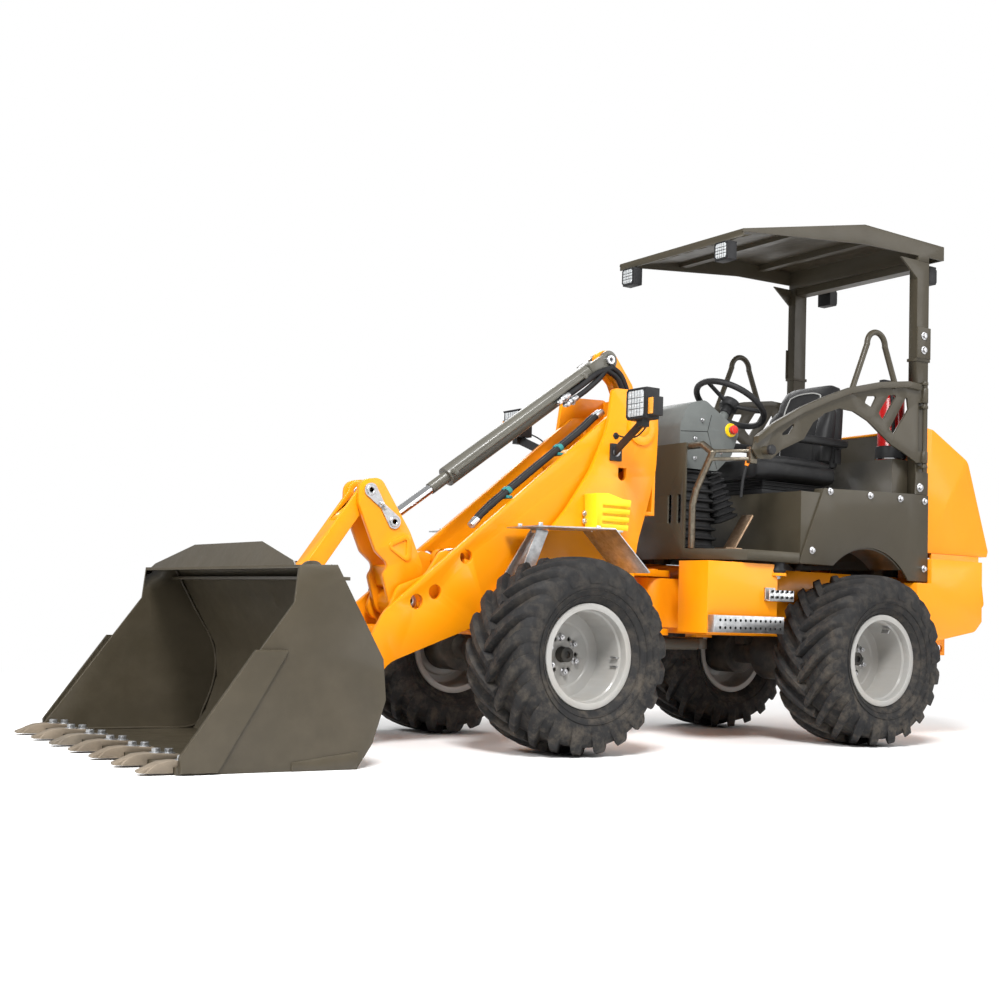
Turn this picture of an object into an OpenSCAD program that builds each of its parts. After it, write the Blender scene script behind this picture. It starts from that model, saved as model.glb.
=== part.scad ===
// Compact articulated wheel loader with a canopy and a toothed bucket.
// Millimetres. +X is forward, +Y is left, +Z is up.
// Front pieces are drawn from the front axle, rear pieces from the rear axle.

/* [Wheels] */
// Distance between the axles
wheelbase = 1670; // [1600:10:1800]
// Distance between the tyre middles
track = 990; // [960:10:1080]
// Tyre diameter over the lugs
tyre_d = 780; // [760:4:820]
// Tyre width
tyre_w = 394; // [370:2:410]
// Rim diameter at the bead seat
rim_d = 381; // [360:1:400]
// Rim width over the flanges
rim_w = 300; // [280:2:320]

/* [Bucket] */
// Bucket width
bucket_w = 1484; // [1400:4:1600]
// Plate thickness of the bucket
bucket_t = 12; // [8:1:16]
// Width of one tooth
tooth_w = 60; // [50:1:80]

/* [Operator space] */
// Width over the platform sides
platform_w = 900; // [880:10:940]
// Height of the roof ridge
roof_h = 2462; // [2400:10:2560]
// Seat width
seat_w = 460; // [420:10:500]
// Steering wheel diameter
wheel_d = 380; // [340:10:400]

/* [Rear] */
// Width of the hood
hood_w = 840; // [780:10:860]
// Width of the counterweight
weight_w = 940; // [900:10:1000]

/* [Hidden] */
// Which node is drawn
$fn = 48;

// Rest height of the axles and how far the body is lifted from its drawn height
axle_z = tyre_d / 2;
body_lift = axle_z - 390;
// The steering pivot lies midway between the axles
pivot_x = -wheelbase / 2;
// Shift that puts the origin under the middle of the whole length
tooth_tip_x = 1811;
rear_tip_r = -1031;
x_shift = -(tooth_tip_x - wheelbase + rear_tip_r) / 2;
// Half widths that follow the track
tyre_inner = track / 2 - tyre_w / 2;
tower_out = tyre_inner - 101;
tower_t = 22;
boom_out = tower_out - tower_t - 12;
boom_t = 22;
chassis_half = tyre_inner - 48;
panel_y = platform_w / 2;
rim_r = rim_d / 2;
// Linkage pins, x and z from the front axle and the ground
boom_pin = [-590, 1382];
tilt_base_pin = [-520, 1700];
lever_pivot = [505, 580];
rod_pin = [575, 898];
link_top_pin = [686, 1018];
bucket_pivot = [744, 240];
link_low_pin = [925, 678];
lift_base_pin = [-560, 1215];
lift_rod_pin = [260, 764];
// Steering cylinder pins, x from the steering pivot and y
steer_rod_at = [195, -165];
steer_base_at = [-415, -120];
steer_z = 430;
// Hood hinge and canopy numbers from the rear axle
hood_hinge = [-552, 1520];
post_front_r = -449;
post_rear_r = -534;

// Small helpers

function unit(v) = v / norm(v);
function wrap(a) = a > 180 ? a - 360 : (a < -180 ? a + 360 : a);
function corner(a, p, b, r, n) = r <= 0 ? [p] :
  let(u = unit(a - p), v = unit(b - p), half = acos(max(-1, min(1, u * v))) / 2,
    c = p + unit(u + v) * r / sin(half), s = p + u * r / tan(half), e = p + v * r / tan(half),
    a0 = atan2(s[1] - c[1], s[0] - c[0]), sweep = wrap(atan2(e[1] - c[1], e[0] - c[0]) - a0))
  [for (k = [0:n]) c + r * [cos(a0 + sweep * k / n), sin(a0 + sweep * k / n)]];
// Polygon with rounded corners, one radius for all or a list
function rounded(pts, r, n = 5) = [for (i = [0:len(pts) - 1])
  each corner(pts[(i + len(pts) - 1) % len(pts)], pts[i], pts[(i + 1) % len(pts)],
    is_list(r) ? r[i] : r, n)];
// Points on an arc
function arc(c, r, from, to, n = 8) = [for (k = [0:n])
  c + r * [cos(from + (to - from) * k / n), sin(from + (to - from) * k / n)]];
// Length and slope between two side-view points
function slope(a, b) = atan2(b[1] - a[1], b[0] - a[0]);

// Front pieces sit in the row frame
module front() {
  translate([x_shift, 0, body_lift]) children();
}

// Rear pieces sit in the row frame
module rear() {
  translate([x_shift - wheelbase, 0, body_lift]) children();
}

// Side-view outline between two widths
module plate(pts, y_from, y_to) {
  translate([0, y_to, 0])
    rotate([90, 0, 0])
      linear_extrude(height = y_to - y_from) polygon(pts);
}

// The same outline on both sides
module plates(pts, y_in, y_out) {
  plate(pts, y_in, y_out);
  plate(pts, -y_out, -y_in);
}

// Box from two corners
module block(a, b) {
  translate(a) cube(b - a);
}

// Box mirrored to both sides
module blocks(a, b) {
  block(a, b);
  mirror([0, 1, 0]) block(a, b);
}

// Round bar across the machine
module bar(at, d, y_from, y_to) {
  translate([at[0], y_from, at[1]])
    rotate([-90, 0, 0]) cylinder(d = d, h = y_to - y_from);
}

// Round bars on both sides
module bars(at, d, y_in, y_out) {
  bar(at, d, y_in, y_out);
  bar(at, d, -y_out, -y_in);
}

// Round rod between two points
module rod(a, b, d) {
  v = b - a;
  translate(a)
    rotate([0, acos(v[2] / norm(v)), atan2(v[1], v[0])]) cylinder(d = d, h = norm(v));
}

// Flat bar between two points, standing on edge
module flat_bar(a, b, wide, thick) {
  v = b - a;
  translate(a)
    rotate([0, acos(v[2] / norm(v)), atan2(v[1], v[0])])
      block([-wide / 2, -thick / 2, 0], [wide / 2, thick / 2, norm(v)]);
}

// Bent tube through points with ball joints
module tube(pts, d) {
  for (i = [0:len(pts) - 2]) rod(pts[i], pts[i + 1], d);
  for (i = [1:len(pts) - 2]) translate(pts[i]) sphere(d = d + 1);
}

// Place a piece drawn along +X from a side-view point toward another
module along(a, b) {
  translate([a[0], 0, a[1]]) rotate([0, -slope(a, b), 0]) children();
}

// Front frame

tower_outline = rounded([[-430, 1545], [-405, 1358], [-322, 1176], [-195, 993], [-20, 805],
  [103, 662], [190, 560], [190, 452], [-560, 452], [-560, 700], [-592, 888], [-635, 1023],
  [-683, 1206], [-690, 1387], [-680, 1556]],
  [22, 300, 400, 600, 800, 300, 60, 30, 20, 60, 300, 300, 300, 200, 22]);
lug_outline = rounded([[-680, 1400], [-655, 1400], [-560, 1600], [-470, 1672], [-478, 1744],
  [-560, 1748], [-680, 1600]], [4, 20, 40, 40, 40, 42, 40]);
lift_lug_outline = rounded([[-680, 1130], [-600, 1130], [-512, 1180], [-512, 1250], [-560, 1264],
  [-680, 1240]], [4, 20, 40, 36, 40, 4]);

module front_frame() {
  color([1.0, 0.62, 0.02])
  front() difference() {
    union() {
      plates(tower_outline, tower_out - tower_t, tower_out);
      block([-680, -tower_out + 1, 1000], [-664, tower_out - 1, 1545]);
      block([-576, -tower_out + 1, 452], [-556, tower_out - 1, 1010]);
      block([-576, -tower_out + 1, 452], [190, tower_out - 1, 470]);
      block([-664, -tower_out + 1, 1000], [-570, tower_out - 1, 1016]);
      plate(lug_outline, -22, 22);
      plates(lift_lug_outline, 56, 78);
      yoke(735, 765);
      yoke(470, 500);
      bars(boom_pin, 150, tower_out - 1, tower_out + 12);
      steer_lug();
    }
    bar(boom_pin, 70, -tower_out - 40, tower_out + 40);
    bar(tilt_base_pin, 46, -60, 60);
    bar(lift_base_pin, 51, -100, 100);
    translate([pivot_x, 0, 400]) cylinder(d = 61, h = 400);
    tower_slot();
    block([-135, -110, 440], [135, 110, 480]);
  }
}

// U-shaped slot in the tower sides
module tower_slot() {
  for (s = [-1, 1]) {
    bar([-492, 1165], 46, s * (tower_out - 11) - 20, s * (tower_out - 11) + 20);
    translate([-515, s * (tower_out - 11) - 20, 1165]) cube([46, 40, 34]);
  }
}

// Steering lug of the front half
module yoke(z_from, z_to) {
  half = 85;
  translate([0, 0, z_from]) linear_extrude(height = z_to - z_from)
    polygon(concat([[-560, 150], [pivot_x + 40, half]], arc([pivot_x, 0], half, 90, 270, 16),
      [[pivot_x + 40, -half], [-560, -150]]));
}

// Lug below the front half for the steering rod
module steer_lug() {
  translate([pivot_x + steer_rod_at[0], steer_rod_at[1], 452]) cylinder(d = 70, h = 20);
  block([pivot_x + steer_rod_at[0], steer_rod_at[1] - 35, 452], [-540, steer_rod_at[1] + 35, 472]);
}

// Axles

module axle_body() {
  difference() {
    union() {
      bar([0, axle_z], 110, -track / 2 + 60, track / 2 - 60);
      bar([0, axle_z], 250, -85, 85);
      bars([0, axle_z], 210, tyre_inner - 10, track / 2 - 52);
      bars([0, axle_z], 60, track / 2 - 60, track / 2 + 4);
      translate([0, 0, axle_z]) rotate([0, 90, 0]) cylinder(d = 150, h = 190, center = true);
    }
    bars([0, axle_z], 30, track / 2 - 6, track / 2 + 10);
  }
}

// Pads that carry the frame
module axle_pads(half) {
  blocks([-70, half - 70, axle_z + 40], [70, half, axle_z + 62]);
}

module front_axle() {
  color([0.12, 0.12, 0.12])
  translate([x_shift, 0, 0]) {
    axle_body();
    axle_pads(tower_out);
  }
}

module rear_axle() {
  color([0.12, 0.12, 0.12])
  translate([x_shift - wheelbase, 0, 0]) {
    axle_body();
    blocks([-70, chassis_half - 60, axle_z + 40], [70, chassis_half, axle_z + 90]);
  }
}

// Lamps on the tower

lamp_at = [-378, 463, 1440];

module headlamp() {
  lamp = [70, 126, 132];
  block([lamp_at[0] - 40, lamp_at[1] - lamp[1] / 2, lamp_at[2] - lamp[2] / 2],
    [lamp_at[0] + 30, lamp_at[1] + lamp[1] / 2, lamp_at[2] + lamp[2] / 2]);
  block([lamp_at[0] - 30, lamp_at[1] + 62, lamp_at[2] - 55], [lamp_at[0] + 20, lamp_at[1] + 100, lamp_at[2] + 25]);
  block([lamp_at[0] - 25, lamp_at[1] - 20, lamp_at[2] - 95], [lamp_at[0] + 15, lamp_at[1] + 20, lamp_at[2] - 60]);
  flat_bar([lamp_at[0] - 60, tower_out + 11, 1262], [lamp_at[0] - 5, lamp_at[1], lamp_at[2] - 72], 40, 9);
  block([lamp_at[0] - 100, tower_out, 1225], [lamp_at[0] - 40, tower_out + 12, 1300]);
}

module headlamps() {
  color([0.1, 0.1, 0.1])
  front() {
    headlamp();
    mirror([0, 1, 0]) headlamp();
  }
}

// Fender brackets and chock on the tower

fender_path = [[110, 896], [-284, 908], [-470, 735], [-474, 740], [-282, 914], [110, 902]];

module fender_bracket() {
  plate(fender_path, tower_out, tower_out + 230);
  plate([[60, 700], [120, 700], [-10, 900], [-70, 900]], tower_out, tower_out + 8);
  plate([[-70, 890], [-10, 890], [60, 720], [0, 720]], tower_out + 40, tower_out + 46);
  block([-70, tower_out, 884], [-10, tower_out + 46, 898]);
}

module fender_brackets() {
  color([0.62, 0.64, 0.66])
  front() {
    fender_bracket();
    mirror([0, 1, 0]) fender_bracket();
    block([-430, tower_out, 908], [-285, tower_out + 95, 916]);
    block([-440, tower_out, 905], [-300, tower_out + 6, 1000]);
    plate([[-440, 880], [-280, 905], [-280, 916], [-440, 916]], tower_out + 60, tower_out + 66);
  }
}

chock_outline = [[-460, 916], [-290, 916], [-282, 1068], [-350, 1072], [-430, 1052], [-474, 1050]];

module wheel_chock() {
  color([1.0, 0.85, 0.05])
  front() difference() {
    plate(chock_outline, tower_out + 7, tower_out + 92);
    for (k = [0:2])
      block([-480, tower_out + 80 - k, 940 + k * 34], [-320, tower_out + 100, 952 + k * 34]);
  }
}

// Boom

boom_root = arc(boom_pin, 70, 250, 80, 12);
boom_outline = rounded(concat(boom_root, [[-470, 1452], [646, 540], [760, 330], [824, 250], [790, 172],
  [700, 166], [640, 330], [192, 500], [-516, 1312]]),
  concat([for (p = boom_root) 0], [80, 160, 60, 60, 66, 66, 120, 160, 60]));
doubler_root = arc(boom_pin, 64, 250, 80, 10);
doubler_outline = rounded(concat(doubler_root, [[-395, 1355], [-470, 1275]]),
  concat([for (p = doubler_root) 0], [40, 40]));
horn_outline = rounded([[250, 770], [360, 800], [430, 690], [560, 640], [600, 540], [560, 505],
  [440, 500], [250, 660]], [30, 40, 80, 50, 50, 50, 40, 40]);

module boom() {
  color([1.0, 0.62, 0.02])
  front() difference() {
    union() {
      plates(boom_outline, boom_out - boom_t, boom_out);
      plates(horn_outline, 86, 108);
      bar([-335, 1235], 90, -boom_out + 1, boom_out - 1);
      bar([150, 690], 76, -boom_out + 1, boom_out - 1);
      bar([560, 445], 76, -boom_out + 1, boom_out - 1);
      boom_webs();
      bars(boom_pin, 130, boom_out - boom_t - 20, boom_out - 1);
      bar(boom_pin, 69, -tower_out - 14, tower_out + 14);
      plates(doubler_outline, boom_out - 1, boom_out + 6);
    }
    bar(lever_pivot, 61, -200, 200);
    bar(bucket_pivot, 61, -200, 200);
    bar(lift_rod_pin, 51, -120, 120);
    bars([279, 770], 60, boom_out - boom_t - 5, boom_out + 20);
    bars([421, 622], 60, boom_out - boom_t - 5, boom_out + 20);
  }
}

// Cross webs inside the boom and the lugs of the lift rod
module boom_webs() {
  blocks([250, 102, 560], [470, boom_out - boom_t + 1, 580]);
  blocks([250, 102, 560], [270, boom_out - boom_t + 1, 760]);
  plates(rounded([[215, 722], [300, 722], [305, 806], [215, 806]], [8, 40, 40, 8]), 56, 87);
}

// Hoses along the boom
module boom_hoses() {
  color([0.05, 0.05, 0.05])
  front() {
    for (k = [0:1]) {
      tube([[-430, 105 - k * 26, 1446], [-330, 108 - k * 26, 1365], [120, 110 - k * 26, 1010],
        [230, 118 - k * 8, 905]], 22);
    }
    for (x = [-200, 60]) {
      z = 1365 - (x + 330) * 0.789;
      block([x - 20, 66, z - 36], [x + 20, boom_out - boom_t, z + 4]);
    }
  }
}

// Bell crank and its links

lever_outline = rounded([[640, 1072], [735, 1058], [735, 960], [650, 775], [585, 722], [612, 680],
  [570, 540], [505, 512], [440, 545], [430, 720], [497, 862]],
  [45, 48, 40, 40, 30, 30, 60, 60, 60, 100, 120]);

module lever() {
  color([1.0, 0.62, 0.02])
  front() difference() {
    union() {
      plates(lever_outline, 52, 74);
      bar(lever_pivot, 124, -74, 74);
      plate(rounded([[440, 700], [480, 690], [600, 735], [590, 700], [575, 640], [450, 610]], 14), -60, 60);
      lever_boss();
      mirror([0, 1, 0]) lever_boss();
    }
    bar(lever_pivot, 61, -200, 200);
  }
  color([0.7, 0.72, 0.74])
  front() {
    pin_flag(rod_pin, link_top_pin);
    pin_flag(link_top_pin, rod_pin);
    mirror([0, 1, 0]) pin_flag(rod_pin, link_top_pin);
    mirror([0, 1, 0]) pin_flag(link_top_pin, rod_pin);
  }
}

// Raised triangular frame on the lever side
module lever_boss() {
  difference() {
    plate(rounded([[617, 805], [490, 862], [488, 725]], 22), 73, 80);
    plate(rounded([[586, 798], [512, 832], [510, 756]], 8), 74, 95);
  }
}

// Pin end with its locking flag
module pin_flag(at, toward) {
  mid = at + (toward - at) * 0.44;
  bar(at, 40, 53, 84);
  hull() {
    bar(at, 56, 73, 80);
    bar(mid, 26, 73, 80);
  }
}

module link() {
  color([1.0, 0.62, 0.02])
  front() difference() {
    union() {
      along(link_top_pin, link_low_pin) {
        span = norm(link_low_pin - link_top_pin);
        blocks([0, 30, -34], [190, 47, 34]);
        block([180, -47, -34], [span, 47, 34]);
      }
      bars(link_top_pin, 84, 30, 47);
      bar(link_low_pin, 84, -47, 47);
    }
    bar(link_top_pin, 41, -60, 60);
    bar(link_low_pin, 41, -60, 60);
  }
}

module link_pin() {
  color([0.7, 0.72, 0.74])
  front() difference() {
    bars(link_top_pin, 40, 27, 52);
    bars(link_top_pin, 20, 20, 60);
  }
}

module lever_pin() {
  color([0.7, 0.72, 0.74])
  front() difference() {
    bar(lever_pivot, 60, -108, 108);
    bar(lever_pivot, 24, -110, 110);
  }
}

module bucket_pin() {
  color([0.7, 0.72, 0.74])
  front() difference() {
    bar(bucket_pivot, 60, -boom_out - 8, boom_out + 8);
    bar(bucket_pivot, 24, -300, 300);
  }
}

module tilt_pin() {
  color([0.7, 0.72, 0.74])
  front() difference() {
    bar(tilt_base_pin, 44, -62, 62);
    bar(tilt_base_pin, 16, -80, 80);
  }
}

// Cylinders

tilt_len = norm(rod_pin - tilt_base_pin);
tilt_barrel_len = 1100;
tilt_gland_len = 95;
lift_len = norm(lift_rod_pin - lift_base_pin);
lift_barrel_len = 610;

module tilt_barrel() {
  pipe = [55, 10];
  color([0.27, 0.26, 0.22])
  front() difference() {
    union() {
      along(tilt_base_pin, rod_pin) {
        rotate([0, 90, 0]) translate([0, 0, 80]) cylinder(d = 86, h = tilt_barrel_len - 80 - tilt_gland_len);
        rotate([0, 90, 0]) translate([0, 0, tilt_barrel_len - tilt_gland_len - 10])
          cylinder(d = 50, h = tilt_gland_len + 10);
        block([0, -48, -37], [114, 48, 37]);
        translate([160, pipe[0], pipe[1]]) rotate([0, 90, 0]) cylinder(d = 16, h = tilt_barrel_len - tilt_gland_len - 170);
        for (x = [170, tilt_barrel_len - tilt_gland_len - 20])
          translate([x, 36, pipe[1]]) rotate([-90, 0, 0]) cylinder(d = 24, h = 30);
      }
      bar(tilt_base_pin, 86, -46, 46);
    }
    bar(tilt_base_pin, 45, -90, 90);
    along(tilt_base_pin, rod_pin) {
      block([-60, -27, -60], [72, 27, 60]);
      rotate([0, 90, 0]) translate([0, 0, 130]) cylinder(d = 64, h = tilt_barrel_len - tilt_gland_len - 150);
      rotate([0, 90, 0]) translate([0, 0, tilt_barrel_len - tilt_gland_len - 30]) cylinder(d = 43, h = tilt_gland_len + 60);
    }
  }
}

module tilt_rod() {
  color([0.8, 0.82, 0.84])
  front() difference() {
    union() {
      along(tilt_base_pin, rod_pin) {
        rotate([0, 90, 0]) translate([0, 0, tilt_len - 620]) cylinder(d = 42, h = 590);
        rotate([0, 90, 0]) translate([0, 0, tilt_len - 640]) cylinder(d = 62, h = 40);
      }
      bar(rod_pin, 82, -24, 24);
    }
    bar(rod_pin, 12, -60, 60);
  }
}

module lift_barrel() {
  pipe = [30, -53];
  color([0.27, 0.26, 0.22])
  front() difference() {
    union() {
      along(lift_base_pin, lift_rod_pin) {
        rotate([0, 90, 0]) translate([0, 0, 30]) cylinder(d = 90, h = lift_barrel_len - 30);
        translate([110, pipe[0], pipe[1]]) rotate([0, 90, 0]) cylinder(d = 18, h = lift_barrel_len - 200);
        for (x = [122, lift_barrel_len - 102])
          translate([x, pipe[0], pipe[1] - 10]) cylinder(d = 26, h = 40);
      }
      bar(lift_base_pin, 100, -50, 50);
      bar(lift_base_pin, 50, -84, 84);
    }
    along(lift_base_pin, lift_rod_pin) {
      rotate([0, 90, 0]) translate([0, 0, 100]) cylinder(d = 72, h = lift_barrel_len - 180);
      rotate([0, 90, 0]) translate([0, 0, lift_barrel_len - 100]) cylinder(d = 51, h = 140);
    }
  }
}

module lift_rod() {
  color([0.8, 0.82, 0.84])
  front() difference() {
    union() {
      along(lift_base_pin, lift_rod_pin) {
        rotate([0, 90, 0]) translate([0, 0, lift_len - 665]) cylinder(d = 50, h = 635);
        rotate([0, 90, 0]) translate([0, 0, lift_len - 685]) cylinder(d = 70, h = 40);
      }
      bar(lift_rod_pin, 90, -45, 45);
      bar(lift_rod_pin, 50, -50, 50);
    }
    bar(lift_rod_pin, 14, -90, 90);
  }
}

// Bucket

bucket_back = [[1171, 690], [979, 372], [964, 234], [1008, 90], [1062, 10]];
side_outline = [[1302, 686], [1171, 690], [979, 372], [964, 234], [1008, 90], [1062, 10],
  [1569, 10], [1684, 24], [1690, 44], [1640, 110], [1314, 559]];
shell_outline = [[1160, 692], [968, 374], [952, 234], [998, 86], [1056, 0], [1650, 0], [1650, 14],
  [1062, 14], [1010, 92], [966, 234], [981, 370], [1172, 690]];

module bucket() {
  half = bucket_w / 2;
  color([0.27, 0.25, 0.2])
  front() difference() {
    union() {
      plate(shell_outline, -half, half);
      plates(side_outline, half - bucket_t, half);
      plates([[1565, 6], [1690, 6], [1694, 58], [1450, 400], [1334, 400]], half - 1, half + 8);
      plates([[1056, 0], [1300, 0], [1300, 30], [1056, 60]], half - 1, half + 6);
      spill_guard();
      block([1110, -half, 640], [1190, half, 652]);
      block([1560, -half, 2], [1700, half, 26]);
    }
  }
}

// Sloped guard on the bucket's top edge
module spill_guard() {
  half = bucket_w / 2;
  translate([1290, 0, 680]) rotate([0, -25.6, 0]) rotate([90, 0, 90])
    linear_extrude(height = 10)
      polygon([[-half + 50, 0], [half - 50, 0], [half - 80, 20], [half - 419, 102], [-half + 419, 102],
        [-half + 80, 20]]);
  plate([[1160, 680], [1302, 674], [1302, 686], [1160, 692]], -half, half);
}

module bucket_teeth() {
  half = bucket_w / 2;
  count = 7;
  color([0.3, 0.29, 0.26])
  front() for (k = [0:count - 1]) {
    y = -half + tooth_w / 2 + bucket_t + 2 + k * (bucket_w - tooth_w - 2 * bucket_t - 4) / (count - 1);
    tooth(y);
  }
}

// One bolted tooth
module tooth(y) {
  difference() {
    union() {
      plate([[1590, 26], [1590, 40], [1700, 46], [1740, 42], [1811, 16], [1811, 8], [1702, 6], [1702, 26]],
        y - tooth_w / 2, y + tooth_w / 2);
    }
    plate([[1740, 60], [1820, 60], [1820, 0], [1800, 0]], y - tooth_w / 2 - 1, y - tooth_w / 2 + 8);
    plate([[1740, 60], [1820, 60], [1820, 0], [1800, 0]], y + tooth_w / 2 - 8, y + tooth_w / 2 + 1);
  }
  for (x = [1620, 1665]) translate([x, y, 40]) cylinder(d = 26, h = 16, $fn = 6);
}

coupler_outline = rounded([[744, 175], [940, 175], [950, 234], [960, 360], [1000, 470], [978, 640],
  [968, 724], [884, 724], [878, 640], [742, 330], [684, 240]], [60, 10, 2, 2, 40, 40, 40, 40, 60, 80, 58]);

module coupler() {
  color([0.27, 0.25, 0.2])
  front() difference() {
    union() {
      plates(coupler_outline, 56, 80);
      plate([[968.5, 180], [951.8, 234], [966.1, 360], [950, 360], [936, 234], [952, 180]], -400, 400);
      bar([955, 560], 60, -340, 340);
      bar(link_low_pin, 40, -92, 92);
      plates([[945, 190], [950, 234], [960, 360], [985, 560], [955, 600], [925, 540], [930, 300]], 300, 320);
    }
    bar(bucket_pivot, 61, -200, 200);
    bar(link_low_pin, 16, -200, 200);
  }
}

// Wheels

module wheel_at(front_end, left) {
  side = left ? 1 : -1;
  translate([x_shift - (front_end ? 0 : wheelbase), side * track / 2, axle_z])
    rotate([0, 0, left ? 0 : 180])
      rotate([-90, 0, 0]) children();
}

tyre_r = tyre_d / 2;
tyre_half = tyre_w / 2;
lug_count = 20;
lug_w = 38;
lug_lean = 45;
// Radius of the tread between the lugs
tread_r = tyre_r - 36;
tyre_side = [[rim_r, rim_w / 2 - 42], [rim_r, rim_w / 2 - 9], [rim_r + 20, rim_w / 2 - 9],
  [rim_r + 42, tyre_half - 26], [rim_r + 90, tyre_half - 6], [tread_r - 50, tyre_half - 6],
  [tread_r - 20, tyre_half - 16], [tread_r, tyre_half - 60]];
tyre_hollow = [[tread_r - 30, tyre_half - 100], [tread_r - 60, tyre_half - 40],
  [rim_r + 70, tyre_half - 40], [rim_r + 26, rim_w / 2 - 32]];
lug_section = [[tread_r - 40, 2], [tyre_r, 2], [tyre_r, tyre_half - 50], [tyre_r - 70, tyre_half],
  [tread_r - 40, tyre_half]];

function flip(pts) = [for (i = [len(pts) - 1:-1:0]) [pts[i][0], -pts[i][1]]];

// One row of lugs, from the middle of the tread to the shoulder
module lug_row(lean) {
  intersection() {
    rotate_extrude($fn = 72) polygon(lug_section);
    for (k = [0:lug_count - 1]) rotate([0, 0, k * 360 / lug_count])
      translate([0, 0, tyre_half * 0.45]) rotate([lean, 0, 0])
        translate([tyre_r * 0.64, -lug_w / 2, -tyre_half]) cube([tyre_r / 2, lug_w, 2 * tyre_half]);
  }
}

// The lugs point forward at the top on either side of the machine
module tyre(left) {
  lean = left ? lug_lean : -lug_lean;
  color([0.05, 0.05, 0.05]) {
    rotate_extrude($fn = 72)
      polygon(concat(tyre_side, flip(tyre_side), flip(tyre_hollow), tyre_hollow));
    lug_row(lean);
    mirror([0, 0, 1]) rotate([0, 0, 180 / lug_count]) lug_row(lean);
  }
}

module rim() {
  half = rim_w / 2;
  color([0.72, 0.73, 0.74])
  difference() {
    rotate_extrude($fn = 72)
      polygon([[48, -46], [rim_r - 60, -46], [rim_r - 54, -40], [rim_r - 24, -40], [rim_r - 9, -60],
        [rim_r - 9, -half], [rim_r + 17, -half], [rim_r + 17, -half + 9], [rim_r, -half + 9],
        [rim_r, half - 9], [rim_r + 17, half - 9], [rim_r + 17, half], [rim_r - 9, half],
        [rim_r - 9, half - 34], [rim_r - 17, half - 40], [rim_r - 17, -28], [rim_r - 60, -28],
        [rim_r - 66, -34], [48, -34]]);
    for (k = [0:5]) rotate([0, 0, k * 60]) translate([70, 0, -60]) cylinder(d = 18, h = 40, $fn = 24);
  }
  color([0.12, 0.12, 0.12])
  difference() {
    translate([0, 0, -44]) cylinder(d = 96, h = 10);
    translate([0, 0, -50]) cylinder(d = 62, h = 40);
  }
}

module tyre_fl() {
  wheel_at(true, true) tyre(true);
}

module tyre_fr() {
  wheel_at(true, false) tyre(false);
}

module tyre_rl() {
  wheel_at(false, true) tyre(true);
}

module tyre_rr() {
  wheel_at(false, false) tyre(false);
}

module rim_fl() {
  wheel_at(true, true) rim();
}

module rim_fr() {
  wheel_at(true, false) rim();
}

module rim_rl() {
  wheel_at(false, true) rim();
}

module rim_rr() {
  wheel_at(false, false) rim();
}

// Rear frame

rear_pivot_r = wheelbase / 2;
side_box_y = 425;

module rear_frame() {
  color([1.0, 0.62, 0.02])
  rear() difference() {
    union() {
      blocks([-760, chassis_half - 18, 480], [rear_pivot_r - 120, chassis_half, 790]);
      block([rear_pivot_r - 140, -chassis_half, 480], [rear_pivot_r - 120, chassis_half, 790]);
      block([-540, -chassis_half, 480], [-522, chassis_half, 790]);
      block([180, -chassis_half, 480], [198, chassis_half, 700]);
      block([rear_pivot_r - 130, -80, 506], [rear_pivot_r, 80, 729]);
      translate([rear_pivot_r, 0, 506]) cylinder(d = 160, h = 223);
      translate([rear_pivot_r, 0, 464]) cylinder(d = 60, h = 308);
      side_box();
      mirror([0, 1, 0]) side_box();
      block([rear_pivot_r + steer_base_at[0] - 40, steer_base_at[1] - 40, 462],
        [rear_pivot_r + steer_base_at[0] + 60, steer_base_at[1] + 40, 480]);
      block([rear_pivot_r + steer_base_at[0] - 40, -chassis_half, 480],
        [rear_pivot_r + steer_base_at[0] + 60, chassis_half, 496]);
      blocks([-430, chassis_half - 1, 560], [-380, chassis_half + 10, 600]);
    }
    translate([rear_pivot_r + steer_base_at[0], steer_base_at[1], 440]) cylinder(d = 31, h = 80);
  }
}

// Yellow box beside the chassis under the platform
module side_box() {
  block([451, side_box_y - 14, 490], [869, side_box_y, 806]);
  block([855, chassis_half - 10, 490], [869, side_box_y, 806]);
  block([451, chassis_half - 1, 490], [465, side_box_y, 806]);
  block([451, chassis_half - 1, 780], [869, side_box_y, 806]);
  block([700, chassis_half - 18, 490], [869, chassis_half, 806]);
}

// Platform

floor_outline = [[821, 205], [663, panel_y], [340, panel_y], [340, panel_y - 12], [325, panel_y - 12],
  [325, -panel_y + 12], [340, -panel_y + 12], [340, -panel_y], [663, -panel_y], [821, -205]];
floor_inner = [[813, 201], [659, panel_y - 8], [348, panel_y - 8], [348, -panel_y + 8], [659, -panel_y + 8],
  [813, -201]];

module platform() {
  color([0.25, 0.24, 0.19])
  rear() {
    difference() {
      translate([0, 0, 817]) linear_extrude(height = 48) polygon(floor_outline);
      translate([0, 0, 810]) linear_extrude(height = 47) polygon(floor_inner);
    }
    difference() {
      block([812, -205, 864], [821, 205, 1345]);
      for (y = wall_slots) wall_slot(y);
    }
    seat_box();
    chassis_mounts();
  }
}

// Upright slots in the front wall
wall_slots = [-165, -100, 100, 165];

module wall_slot(y) {
  block([805, y - 13, 990], [828, y + 13, 1100]);
  for (z = [990, 1100]) translate([805, y, z]) rotate([0, 90, 0]) cylinder(d = 26, h = 23);
}

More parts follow.
